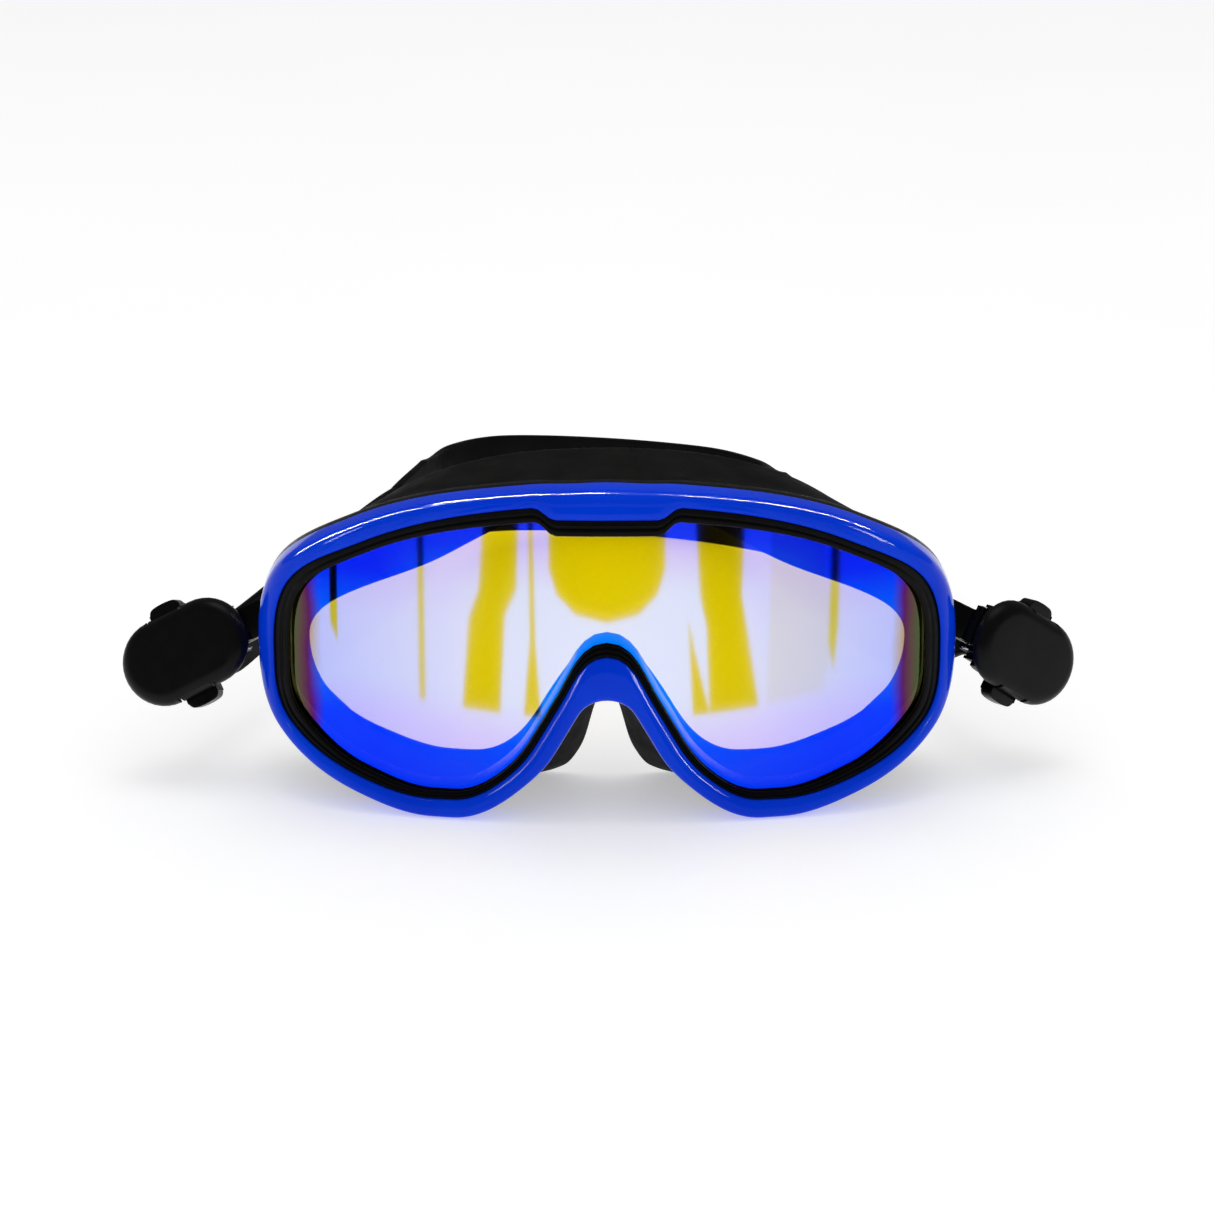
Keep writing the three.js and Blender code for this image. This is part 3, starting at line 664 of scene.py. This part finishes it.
skirt_out = share(rim_outer, rim_inner, 0.3)
skirt_in = share(rim_inner, lens_edge, 0.4)
skirt_lip = stepped(skirt_rear, face_opening, 2.6)
skirt = ring(
    "face_skirt_seal",
    [
        behind(skirt_out, SKIRT_FRONT),
        between(skirt_out, skirt_rear, 0.16, 1, 0.25),
        between(skirt_out, skirt_rear, 0.2, 1, -0.35),
        between(skirt_out, skirt_rear, 0.5, 1, 0.1),
        between(skirt_out, skirt_rear, 0.84, 1.5, 0),
        before_rear(skirt_rear, 1.6),
        before_rear(stepped(skirt_rear, face_opening, 1.1), 0.2),
        before_rear(stepped(skirt_rear, face_opening, 3), 0),
        before_rear(share(skirt_rear, face_opening, 0.7), 0.7),
        before_rear(share(skirt_rear, face_opening, 1), 1.2),
        before_rear(share(skirt_rear, face_opening, 1), 2.2),
        before_rear(stepped(skirt_rear, face_opening, 3), 3),
        between(skirt_in, skirt_lip, 0.5, 2.5),
        behind(skirt_in, SKIRT_FRONT),
    ],
    [0.6, 0.4, 0.5, 4, 2, 1.2, 1.2, 2, 2, 0.5, 0.5, 1.5, 3, 0.6],
    skirt_look.material,
)
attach(skirt, "frame")
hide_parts("face_skirt")


# ---- local solids, for the buckles
def loft(name, loops, material=None):
    """A closed skin over equal loops of points, with flat end caps."""
    rows, columns = len(loops), len(loops[0])
    faces = grid_faces(rows, columns, False, True)
    faces.append(list(range(columns)))
    faces.append([(rows - 1) * columns + j for j in range(columns)][::-1])
    return piece(name, np.concatenate([np.array(loop, float) for loop in loops]) * MM, faces, material)


def stadium(middle, length, width, y, arc=20):
    """Points round a stadium in x and z at depth y."""
    radius = width / 2
    reach = length / 2 - radius
    turn = np.linspace(-math.pi / 2, math.pi / 2, arc)
    right = np.stack([middle + reach + radius * np.cos(turn), radius * np.sin(turn)], 1)
    left = np.stack([middle - reach - radius * np.cos(turn), -radius * np.sin(turn)], 1)
    flat = np.concatenate([right, left])
    return np.stack([flat[:, 0], np.full(len(flat), float(y)), flat[:, 1]], 1)


def slab(length, width, y0, y1):
    """A stadium-shaped plate from y0 to y1."""
    return loft("slab", [stadium(MIDDLE, length, width, y) for y in (y0, y1)])


def block(x0, x1, y0, y1, z0, z1):
    loops = []
    for x in (x0, x1):
        loops.append([(x, y0, z0), (x, y1, z0), (x, y1, z1), (x, y0, z1)])
    return loft("block", loops)


def bar(x, y, radius, z0, z1, sides=32):
    turn = np.linspace(0, 2 * math.pi, sides, endpoint=False)
    circle = np.stack([x + radius * np.cos(turn), y + radius * np.sin(turn)], 1)
    return loft("bar", [np.column_stack([circle, np.full(sides, float(z))]) for z in (z0, z1)])


def both_ways(z0, z1, side):
    """The span from z0 to z1, or its mirror image on the lower side."""
    return (z0, z1) if side > 0 else (-z1, -z0)


# ---- buckles
REST_TURN = {"left": 4, "right": 28}
hinge_axis = Vector(joints["swivel_right"]["axis"]).normalized()
MIDDLE = 13.15
COVER_LENGTH, COVER_WIDTH = 31.5, 20.5
COVER_GROWN = 0.5  # the visible cover is this much fuller at each end
COVER_WIDENED = 0.1  # and this much at each side
COVER_FRONT, COVER_BACK = -8, -3.9
TRAY_FRONT, TRAY_BACK = -3.6, 3
EYE_INNER, EYE_OUTER, EYE_RADIUS = 4.2, 5.6, 2.2
PIN_RADIUS, PIN_BORE, PAWL_BORE = 1, 1.08, 0.68
ROLLER_X, ROLLER_Y = MIDDLE + 1.4, 1
PAWL_X, PAWL_Y = ROLLER_X - 8, 0.6
WALL_INNER, WALL_OUTER = 6.3, 7
BUTTON_X, BUTTON_HALF = MIDDLE + 1, 4.1
BUTTON_INNER, BUTTON_OUTER = 8.8, 12.2
PAD_GROWN = 0.9  # how far the soft crown stands above the plain pad
LOOP_INNER = 2.7
STRAP_THICK = 1.8
VISIBLE_THICK = STRAP_THICK - 0.16  # a little thinner than the plain CAD strap
TONGUE_HALF = 4.4
LEG_BACK = 9.4


def buckle_matrix(side, degrees):
    """Buckle axes (x outward, y back, z along the hinge) to the row frame."""
    flat = Vector((hinge_axis.z, 0, -hinge_axis.x)).normalized()
    back = hinge_axis.cross(flat)
    turn = math.radians(degrees)
    out = flat * math.cos(turn) + back * math.sin(turn)
    rear = hinge_axis.cross(out)
    matrix = Matrix((out, rear, hinge_axis)).transposed().to_4x4()
    matrix.translation = Vector(joints["swivel_right"]["pos_m"])
    if side == "left":
        return Matrix.Scale(-1, 4, (1, 0, 0)) @ matrix
    return matrix


def on_both_buckles(obj, name, body, slot, material, *nodes, turn=None):
    """Puts a copy of a local piece on each buckle and removes the original."""
    for side in ("left", "right"):
        copy = bpy.data.objects.new(f"{name}_{side}", obj.data.copy())
        scene.collection.objects.link(copy)
        degrees = REST_TURN[side] if turn is None else turn
        copy.data.transform(buckle_matrix(side, degrees))
        if side == "left":
            copy.data.flip_normals()
        copy.data.materials.clear()
        copy.data.materials.append(material)
        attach(copy, body.format(side))
        if nodes:
            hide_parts(*[f"{node}_{side}" for node in nodes])
    bpy.data.objects.remove(obj)


def cover():
    """The shell: its hollow, the step where it meets the tray, then its crowned outside."""
    length, width = COVER_LENGTH + 2 * COVER_GROWN, COVER_WIDTH + 2 * COVER_WIDENED
    half = width / 2
    roof, shoulder, belt = -6.5, -6.0, -4.15
    inside = [(9.9, roof), (2.4, roof), (1.5, shoulder), (1.3, COVER_BACK), (0.25, COVER_BACK), (0, belt)]
    loops = [stadium(MIDDLE, length - 2 * inset, width - 2 * inset, y) for inset, y in inside]
    steps, last_inset = 24, 10
    edge_round, edge_share = 3.1, 0.88
    for k in range(1, steps + 1):
        inset = last_inset * (k / steps) ** 1.7
        edge = math.sqrt(1 - (1 - min(inset / edge_round, 1)) ** 2)
        crown = 1 - (1 - inset / half) ** 2
        y = belt - (belt - COVER_FRONT) * (edge_share * edge + (1 - edge_share) * crown)
        loops.append(stadium(MIDDLE, length - 2 * inset, width - 2 * inset, y))
    shell = loft("cover", loops)
    # Notches at each end of each thumb pad.
    notches = []
    notch = 0.45
    for side in (-1, 1):
        span = both_ways(COVER_WIDTH / 2 - 0.75, 12, side)
        for end in (-1, 1):
            x = BUTTON_X + end * (BUTTON_HALF + notch)
            notches.append(block(x - notch, x + notch, -7, -3, *span))
    combined(shell, notches, "DIFFERENCE")
    return bevelled(shell, 0.15, 2, 50)


def tray():
    """The walled base of the buckle, with its hinge eyes, rails, bores and cuts."""
    smaller, wall_width = 1.2, 1.3
    length, width = COVER_LENGTH - smaller, COVER_WIDTH - smaller
    wall = slab(length, width, TRAY_FRONT, TRAY_BACK)
    well = slab(length - 2 * wall_width, width - 2 * wall_width, TRAY_FRONT - 1, 1.8)
    hinge_end = block(-6, 5, -10, 10, -12, 12)
    end = PAWL_X - 1.8
    window = block(end, ROLLER_X + 5.4, 0, 10, 0.2 - WALL_INNER, WALL_INNER - 0.2)
    combined(wall, [well, hinge_end, window], "DIFFERENCE")
    added, cuts = [], []
    hair = 0.01  # keeps the faces of joined blocks out of one plane
    front = hair - EYE_RADIUS
    reach = BUTTON_HALF + GAP
    for side in (-1, 1):
        eye = both_ways(EYE_INNER, EYE_OUTER, side)
        step = both_ways(EYE_INNER + hair, WALL_OUTER, side)
        rail = both_ways(WALL_INNER, WALL_OUTER, side)
        slot = both_ways(WALL_OUTER + 0.3, 12, side)
        added.append(bar(0, 0, EYE_RADIUS, *eye))
        added.append(block(0, end, -EYE_RADIUS, EYE_RADIUS, *eye))
        added.append(block(3, end + hair, front, -front, *step))
        added.append(block(3 + hair, MIDDLE + 9.5, front + hair, TRAY_BACK - 0.2, *rail))
        cuts.append(block(BUTTON_X - reach, BUTTON_X + reach, -9, 1, *slot))
    bores = ((0, 0, PIN_BORE), (ROLLER_X, ROLLER_Y, PIN_BORE), (PAWL_X, PAWL_Y, PAWL_BORE))
    cuts += [bar(x, y, radius, -9, 9) for x, y, radius in bores]
    # A shallow recess on the back, outward of the strap window.
    cuts.append(block(22.2, 25.2, 2.55, 4, -4.5, 4.5))
    combined(wall, added, "UNION")
    combined(wall, cuts, "DIFFERENCE")
    return bevelled(wall, 0.22, 2, 35)


def button():
    """Thumb block with a crowned pad, drawn for the upper side."""
    columns, rows = 41, 9
    x = np.linspace(-BUTTON_HALF, BUTTON_HALF, columns)
    y = np.linspace(TRAY_FRONT + 0.4, 0.6, rows)
    # The crown falls a little toward both ends, and steeply at the very ends.
    along = np.abs(x / BUTTON_HALF)
    crown = BUTTON_OUTER + PAD_GROWN - 0.5 * along**2 - 1.4 * along**9
    loops = []
    for k in range(columns):
        inner = [(BUTTON_X + x[k], v, BUTTON_INNER) for v in y]
        outer = [(BUTTON_X + x[k], v, crown[k]) for v in y[::-1]]
        loops.append(inner + outer)
    pad = loft("pad", loops)
    return bevelled(pad, 0.3, 3, 50)


def hinge_pin():
    """A round pin with domed ends."""
    sides = 28
    turn = np.linspace(0, 2 * math.pi, sides, endpoint=False)
    loops = []
    for sign in (-1, 1):
        for part in (0.25, 0.6, 0.88, 1)[::sign]:
            radius = PIN_RADIUS * part
            z = sign * (EYE_OUTER - 0.3 * PIN_RADIUS * (1 - math.sqrt(1 - part**2)))
            loops.append(np.stack([radius * np.cos(turn), radius * np.sin(turn), np.full(sides, z)], 1))
    return loft("hinge", loops)


# The raised border along each edge of a strap's outer face, the slope beside it, and its rise.
BORDER, BORDER_SLOPE, BORDER_RISE = 1.3, 0.3, 0.16


def sunk(z, height):
    """Whether a point of a strap's section lies between its two borders."""
    return np.abs(z) < height / 2 - BORDER - BORDER_SLOPE / 2


def band_section(height, thick, corner=0.42, arc=4):
    """Section of a strap: rounded corners and a raised border along each edge of its outer face."""
    half = height / 2
    points = []
    for sx, sz, start in ((1, 1, 0), (-1, 1, 1), (-1, -1, 2), (1, -1, 3)):
        x, z = sx * (thick / 2 - corner), sz * (half - corner)
        for k in range(arc + 1):
            a = math.pi / 2 * (start + k / arc)
            points.append((x + corner * math.cos(a), z + corner * math.sin(a)))
    inner = half - BORDER - BORDER_SLOPE
    for z in (BORDER - half, -inner, inner, half - BORDER):
        points.append((thick / 2 - (BORDER_RISE if sunk(z, height) else 0), z))
    return np.array(points)


def sweep(centres, ups, acrosses, heights, thick, ribs=None):
    """The sections of a band along its centre line. ribs raises the outer face, row by row."""
    loops = []
    for k, (centre, up, across) in enumerate(zip(centres, ups, acrosses)):
        section = band_section(heights[k], thick)
        if ribs is not None:
            inside = (section[:, 0] > 0) & sunk(section[:, 1], heights[k])
            section[inside, 0] += ribs[k]
        loops.append(centre + section[:, :1] * across + section[:, 1:] * up)
    return loops


def tongue():
    """Strap end: in from behind, round the front of the roller and out behind again."""
    radius = LOOP_INNER + STRAP_THICK / 2
    path = [(ROLLER_X - radius, y, -1, 0) for y in np.linspace(LEG_BACK, ROLLER_Y, 24)[:-1]]
    for a in np.linspace(math.pi, 2 * math.pi, 33):
        nx, ny = math.cos(a), math.sin(a)
        path.append((ROLLER_X + radius * nx, ROLLER_Y + radius * ny, nx, ny))
    path += [(ROLLER_X + radius, y, 1, 0) for y in np.linspace(ROLLER_Y, LEG_BACK, 24)[1:]]
    rows = len(path)
    centres = [np.array([x, y, 0]) for x, y, *_ in path]
    acrosses = [np.array([nx, ny, 0]) for *_, nx, ny in path]
    ups = [np.array([0, 0, 1.0])] * rows
    return loft("tongue", sweep(centres, ups, acrosses, [2 * TONGUE_HALF] * rows, VISIBLE_THICK))


def keeper():
    """The loop that holds the strap tail, with a groove cut round its outside."""
    reach = LOOP_INNER + STRAP_THICK + 0.3
    half = TONGUE_HALF + 0.3

    def collar(near, far, beside, y0, y1):
        """A block round the strap, wider than its hole by these amounts."""
        tall = half + beside
        return block(ROLLER_X - reach - near, ROLLER_X + reach + far, y0, y1, -tall, tall)

    outside = collar(0.6, 0.9, 0.8, 5.2, 7.3)
    bevelled(outside, 0.55, 4)
    combined(outside, [collar(0, 0, 0, 0, 20)], "DIFFERENCE")
    groove = block(ROLLER_X - 9, ROLLER_X + 9, 6.1, 6.5, -9, 9)
    combined(groove, [collar(0.42, 0.7, 0.6, 6.0, 6.6)], "DIFFERENCE")
    combined(outside, [groove], "DIFFERENCE")
    return bevelled(outside, 0.12, 2, 50)


def lug():
    """Barrel between the hinge eyes, and the arm that joins it to the frame."""
    reach = EYE_INNER - 0.3
    barrel = 2.4
    arm = block(-8.2, 0, -0.8, barrel, -reach, reach)
    combined(arm, [bar(0, 0, barrel, -reach + 0.01, reach - 0.01)], "UNION")
    combined(arm, [bar(0, 0, PIN_BORE, -8, 8)], "DIFFERENCE")
    return bevelled(arm, 0.3, 3, 35)


on_both_buckles(cover(), "cover_shell", "buckle_{}", "cover_black", cover_look.material, "buckle_cover")
on_both_buckles(tray(), "buckle_tray", "buckle_{}", "buckle_black", buckle_look.material, "buckle_base")
on_both_buckles(hinge_pin(), "swivel_pin", "buckle_{}", "pin_steel", steel_look.material, "hinge_pin")
on_both_buckles(tongue(), "strap_tongue", "buckle_{}", "strap_silicone", strap_look.material, "strap_end")
on_both_buckles(keeper(), "keeper_loop", "buckle_{}", "buckle_black", buckle_look.material, "strap_keeper")
on_both_buckles(lug(), "swivel_lug", "frame", "frame_black", frame_look.material, turn=0)
upper = button()
lower = bpy.data.objects.new("lower", upper.data.copy())
scene.collection.objects.link(lower)
lower.data.transform(Matrix.Scale(-1, 4, (0, 0, 1)))
lower.data.flip_normals()
for pad, place in ((upper, "upper"), (lower, "lower")):
    node = f"button_{place}"
    on_both_buckles(pad, f"thumb_pad_{place}", f"{node}_{{}}", "buckle_black", buckle_look.material, node)


def in_material(node, look):
    """A CAD node that stays: it takes this material and keeps its shape."""
    part = frame["nodes"][node]
    part.data.materials.clear()
    part.data.materials.append(look.material)
    return part


for side in ("left", "right"):
    for node in ("strap_roller", "pawl"):
        in_material(f"{node}_{side}", buckle_look)
    for node in ("roller_pin", "pawl_pin", "spring_upper", "spring_lower"):
        part = in_material(f"{node}_{side}", steel_look)
        part.data.polygons.foreach_set("use_smooth", [True] * len(part.data.polygons))
        sharpen(part, 50)


# ---- strap
SIDE_SPANS, REAR_SPANS = 3, 6
LAST_SPAN = 2 * (SIDE_SPANS + 1) + REAR_SPANS
RIGHT_ROUTE = [(71, 95, 29.5), (54.6, 138, 27.5), (46.2, 163, 21), (41, 184, 16.7), (27, 201, 14.2)]
LEFT_ROUTE = [(-71, 95, 30.5), (-55.5, 138, 30), (-48, 163, 24.5), (-42.5, 184, 21), (-28, 201, 17.5)]
ROUTE_REAR = (0, 206.5, 15)
SIDE_HEIGHT, BAND_HEIGHT = 14, 12
FORK_HEIGHT = 2 * BAND_HEIGHT + 0.5
FORK_OPENS = 0.88  # part of the fork's span over which it grows to its full height
BAND_OVERLAP = 0.1  # part of a span by which each rear band reaches into the forks
BAND_PARTING, BAND_SPREAD = 0.4, 1.6  # half the gap between the bands at the fork, and what it grows by
RIB_HEIGHT, RIB_PITCH = 0.26, 2.2
RIBS_FADE, RIBS_END = 40, 46  # mm along the strap, behind the buckle
FIXED_END, MOVING_END = 0.9, 0.15  # in spans: where a side run starts to bend, from the fork and buckle


def leg_points(side):
    """Where a strap leg leaves the keeper, and a point straight behind it."""
    x = ROLLER_X - LOOP_INNER - STRAP_THICK / 2
    found = []
    for y in (LEG_BACK + 0.3, LEG_BACK + 9):
        p = np.array(buckle_matrix(side, REST_TURN[side]) @ Vector((x * MM, y * MM, 0))) / MM
        p[1] -= front_plane
        found.append(p)
    return found


route = leg_points("right") + [np.array(p, float) for p in RIGHT_ROUTE + [ROUTE_REAR]]
route += [np.array(p, float) for p in LEFT_ROUTE[::-1]] + leg_points("left")[::-1]


def strap_point(span):
    """A point on the centripetal Catmull-Rom line through the route, by span."""
    k = min(int(span), LAST_SPAN - 1)
    t = span - k
    p1, p2 = route[k], route[k + 1]
    p0 = route[k - 1] if k > 0 else 2 * p1 - p2
    p3 = route[k + 2] if k + 2 <= LAST_SPAN else 2 * p2 - p1
    d0, d1, d2 = (math.sqrt(np.linalg.norm(b - a)) for a, b in ((p0, p1), (p1, p2), (p2, p3)))
    m1 = ((p1 - p0) / d0 - (p2 - p0) / (d0 + d1) + (p2 - p1) / d1) * d1
    m2 = ((p2 - p1) / d1 - (p3 - p1) / (d1 + d2) + (p3 - p2) / d2) * d1
    return p1 + m1 * t + (3 * (p2 - p1) - 2 * m1 - m2) * t**2 + (2 * (p1 - p2) + m1 + m2) * t**3


def smooth(value, low, high):
    """Eases from 0 to 1 as the value goes from low to high."""
    t = min(max((value - low) / (high - low), 0), 1)
    return t * t * (3 - 2 * t)


def to_buckle(span):
    """How many spans away the nearer buckle is."""
    return min(span, LAST_SPAN - span)


def strap_frame(span):
    """Centre, width direction and outward direction of the strap."""
    near = to_buckle(span)
    sign = 1 if span < LAST_SPAN / 2 else -1
    lean = np.array([sign * hinge_axis.x, hinge_axis.y, hinge_axis.z])
    up = lean + (np.array([0, 0, 1.0]) - lean) * min(near / 2, 1)
    up /= np.linalg.norm(up)
    step = 1e-3
    low, high = max(span - step, 0), min(span + step, LAST_SPAN)
    tangent = strap_point(high) - strap_point(low)
    across = np.cross(tangent, up)
    return strap_point(span), up, across / np.linalg.norm(across)


def strap_piece(name, start, end, count, height, thick, level=lambda near: 0, serrated=False):
    """A stretch of strap. height and level depend on the distance to the nearer buckle."""
    spans = np.linspace(start, end, count)
    centres, ups, acrosses = zip(*(strap_frame(s) for s in spans))
    centres = [c + u * level(to_buckle(s)) for c, u, s in zip(centres, ups, spans)]
    ribs = None
    if serrated:
        steps = [np.linalg.norm(b - a) for a, b in zip(centres, centres[1:])]
        along = np.concatenate([[0], np.cumsum(steps)])
        if start > 1:
            along = along[-1] - along
        # Cross ribs for grip behind the buckle.
        waves = [max(0, math.sin(2 * math.pi * a / RIB_PITCH)) for a in along]
        ribs = [RIB_HEIGHT * w * (1 - smooth(a, RIBS_FADE, RIBS_END)) for w, a in zip(waves, along)]
    heights = [height(to_buckle(s)) for s in spans]
    loops = sweep(centres, ups, acrosses, heights, thick, ribs)
    obj = loft(name, [placed(loop) / MM for loop in loops], strap_look.material)
    return sharpen(obj, 60)


def side_height(near):
    """The strap grows from the height of the tongue to its own height."""
    return 2 * TONGUE_HALF + (SIDE_HEIGHT - 2 * TONGUE_HALF) * smooth(near, 0.3, 1.2)


def fork_height(near):
    """The fork grows until it covers both rear bands."""
    return SIDE_HEIGHT + (FORK_HEIGHT - SIDE_HEIGHT) * min((near - SIDE_SPANS) / FORK_OPENS, 1)


for side, start, end in (("right", 0, SIDE_SPANS), ("left", LAST_SPAN - SIDE_SPANS, LAST_SPAN)):
    run = strap_piece(f"strap_run_{side}", start, end, 300, side_height, VISIBLE_THICK, serrated=True)
    spans = [SIDE_SPANS - FIXED_END, MOVING_END]
    if side == "left":
        spans = [LAST_SPAN - span for span in spans]
    ends = [Vector(placed(strap_point(span))[0]) for span in spans]
    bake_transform(run)
    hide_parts(f"strap_side_{side}")

for side, start in (("right", SIDE_SPANS), ("left", LAST_SPAN - SIDE_SPANS - 1)):
    fork = strap_piece(f"strap_joint_{side}", start, start + 1, 40, fork_height, STRAP_THICK + 0.3)
    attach(fork, "frame")
    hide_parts(f"strap_fork_{side}")

band_start = SIDE_SPANS + 1 - BAND_OVERLAP
for place, sign in (("upper", 1), ("lower", -1)):

    def level(near):
        parting = smooth(near, SIDE_SPANS + 1, SIDE_SPANS + 3)
        return sign * (BAND_HEIGHT / 2 + BAND_PARTING + BAND_SPREAD * parting)

    band = strap_piece(
        f"rear_band_{place}", band_start, LAST_SPAN - band_start, 160,
        lambda near: BAND_HEIGHT - 0.3, STRAP_THICK - 0.1, level,
    )
    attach(band, "frame")
    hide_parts(f"strap_rear_{place}")


# ---- stage: floor, cards, lights, camera
def stage_sheet(name, corners, material):
    """A flat face of the stage, in metres."""
    mesh = bpy.data.meshes.new(name)
    mesh.from_pydata([tuple(c) for c in corners], [], [list(range(len(corners)))])
    mesh.materials.append(material)
    obj = bpy.data.objects.new(name, mesh)
    scene.collection.objects.link(obj)
    return obj


floor_look = (
    Look("pale_floor", (0.8, 0.8, 0.8), 0.3, specular=0.3, Emission_Strength=0.42)
    .mottle((0.79, 0.79, 0.79), (0.81, 0.81, 0.81), 200)
)
floor_look.shader.inputs["Emission Color"].default_value = (1, 1, 1, 1)
FLOOR_HALF = 6
corners = [(-1, -1), (1, -1), (1, 1), (-1, 1)]
stage_sheet("floor", [(FLOOR_HALF * x, FLOOR_HALF * y, 0) for x, y in corners], floor_look.material)

# Dark cards standing just in front of the lens, seen only in reflections: they stand for the dark
# parts of the room that the lens mirrors in the photo, where it shows its yellow tint.
CARD_DISTANCE = 57
TOP, FOOT = 62, 1  # z of the upper and lower ends of most cards
dark = Look("dark_card", (0, 0, 0), 1, specular=0).material
half_dark = Look("half_dark_card", (0, 0, 0), 1, specular=0, Alpha=0.22).material
# The corners of each card in x and z, rounded from where the lens has to mirror them.
CARDS = {
    "card_wide_left": [
        (-45, TOP), (-32, TOP), (-33.5, 34), (-38, 27), (-40, FOOT), (-55, FOOT), (-52, 25), (-48, 33),
    ],
    "card_thin_left": [(-29, TOP), (-27.5, TOP), (-26.5, 21), (-24.5, FOOT), (-31, FOOT), (-28.5, 21)],
    "card_line_left": [(-73, TOP), (-70.5, TOP), (-70.5, FOOT), (-73, FOOT)],
    "card_far_left": [(-148, TOP), (-131, TOP), (-135, 4), (-153, 4)],
    "card_middle": [
        (-21.5, TOP), (-21.3, 40), (-18.5, 33.5), (-11.5, 28.5), (0, 26.5),
        (11.5, 28.5), (18.5, 33.5), (21.3, 40), (21.5, TOP),
    ],
    "card_wide_right": [
        (31.5, TOP), (52, TOP), (50.5, 31), (58, FOOT), (38.5, FOOT), (37, 24), (34.5, 32),
    ],
    "card_strand_right": [(30, 27), (32.5, 18), (38.5, FOOT), (32, FOOT)],
    "card_thin_right": [
        (89, TOP), (93.5, TOP), (92.5, 36), (92.5, 18.5), (90.5, 5), (88, 14), (88.5, 37),
    ],
    "card_pale_right": [(63, TOP), (84, TOP), (86, 30), (92, 20), (86, FOOT), (61, FOOT)],
}
for name, points in CARDS.items():
    shade = half_dark if "pale" in name else dark
    card = stage_sheet(name, placed([(x, -CARD_DISTANCE, z) for x, z in points]), shade)
    for ray in ("camera", "diffuse", "transmission", "shadow"):
        setattr(card, f"visible_{ray}", False)

world = bpy.data.worlds.new("studio")
scene.world = world
world.use_nodes = True
tree = world.node_tree
# Brightness of the walls as seen by the camera and in reflections, and the light that they give
# at the horizon and overhead.
BACKDROP, MIRRORED = 1.0, 0.14
FILL_LOW, FILL_HIGH = 0.3, 0.8
OVERHEAD = 0.8  # the height of a direction, from 0 to 1, from which it counts as overhead


def world_range(sockets):
    made = tree.nodes.new("ShaderNodeMapRange")
    for socket, value in sockets.items():
        made.inputs[socket].default_value = value
    return made


background = tree.nodes["Background"]
background.inputs["Color"].default_value = (1, 1, 1, 1)
path = tree.nodes.new("ShaderNodeLightPath")
direction = tree.nodes.new("ShaderNodeTexCoord")
upright = tree.nodes.new("ShaderNodeSeparateXYZ")
rising = world_range({"From Max": OVERHEAD, "To Min": FILL_LOW, "To Max": FILL_HIGH})
dimmed = world_range({"To Max": MIRRORED})
choice = world_range({"To Max": BACKDROP})
for output, target in (
    (direction.outputs["Generated"], upright.inputs["Vector"]),
    (upright.outputs["Z"], rising.inputs["Value"]),
    (rising.outputs["Result"], dimmed.inputs["To Min"]),
    (path.outputs["Is Glossy Ray"], dimmed.inputs["Value"]),
    (dimmed.outputs["Result"], choice.inputs["To Min"]),
    (path.outputs["Is Camera Ray"], choice.inputs["Value"]),
    (choice.outputs["Result"], background.inputs["Strength"]),
):
    tree.links.new(output, target)


def area_light(name, place, aim, size, watts, tall=None):
    data = bpy.data.lights.new(name, "AREA")
    data.shape = "RECTANGLE"
    data.size = size
    data.size_y = tall or size
    data.energy = watts
    obj = bpy.data.objects.new(name, data)
    scene.collection.objects.link(obj)
    obj.location = place
    obj.rotation_euler = (Vector(aim) - Vector(place)).to_track_quat("-Z", "Y").to_euler()
    return obj


centre = (0, -0.05, 0.04)
area_light("top_soft", (0, 0.1, 1.5), centre, 0.8, 4)
# Tubes that only the blue rim mirrors: place, width, length and power.
TUBES = {
    "middle_tube": ((-0.18, 0.25, 1.0), 0.09, 0.9, 70),
    "right_tube": ((0.48, 0.3, 0.95), 0.1, 0.9, 75),
    "corner_tube_a": ((-0.66, 0.25, 0.85), 0.05, 0.8, 30),
    "corner_tube_b": ((-0.8, 0.25, 0.7), 0.04, 0.8, 30),
    "corner_tube_c": ((-0.93, 0.2, 0.52), 0.05, 0.7, 30),
    "left_side_tube": ((-1.0, -0.55, 0.35), 0.2, 0.5, 14),
    "right_side_tube": ((1.0, -0.55, 0.35), 0.3, 0.5, 22),
}
mirroring = bpy.data.collections.new("mirrors_the_tubes")
mirroring.objects.link(rim)
for name, (place, width, length, watts) in TUBES.items():
    tube = area_light(name, place, centre, width, watts, length)
    tube.visible_diffuse = False
    tube.visible_camera = False
    tube.light_linking.receiver_collection = mirroring

CAMERA_DISTANCE = 0.9
CAMERA_RISE = math.radians(20)
AIM_HEIGHT = 0.054
target = Vector((0, front_plane * MM, AIM_HEIGHT))
camera_data = bpy.data.cameras.new("camera")
camera = bpy.data.objects.new("camera", camera_data)
scene.collection.objects.link(camera)
camera.location = target + Vector((0, -math.cos(CAMERA_RISE), math.sin(CAMERA_RISE))) * CAMERA_DISTANCE
camera.rotation_euler = (target - camera.location).to_track_quat("-Z", "Y").to_euler()
camera_data.sensor_width = 36
camera_data.lens = 117.4
camera_data.clip_start = 0.01
camera_data.clip_end = 50
scene.camera = camera
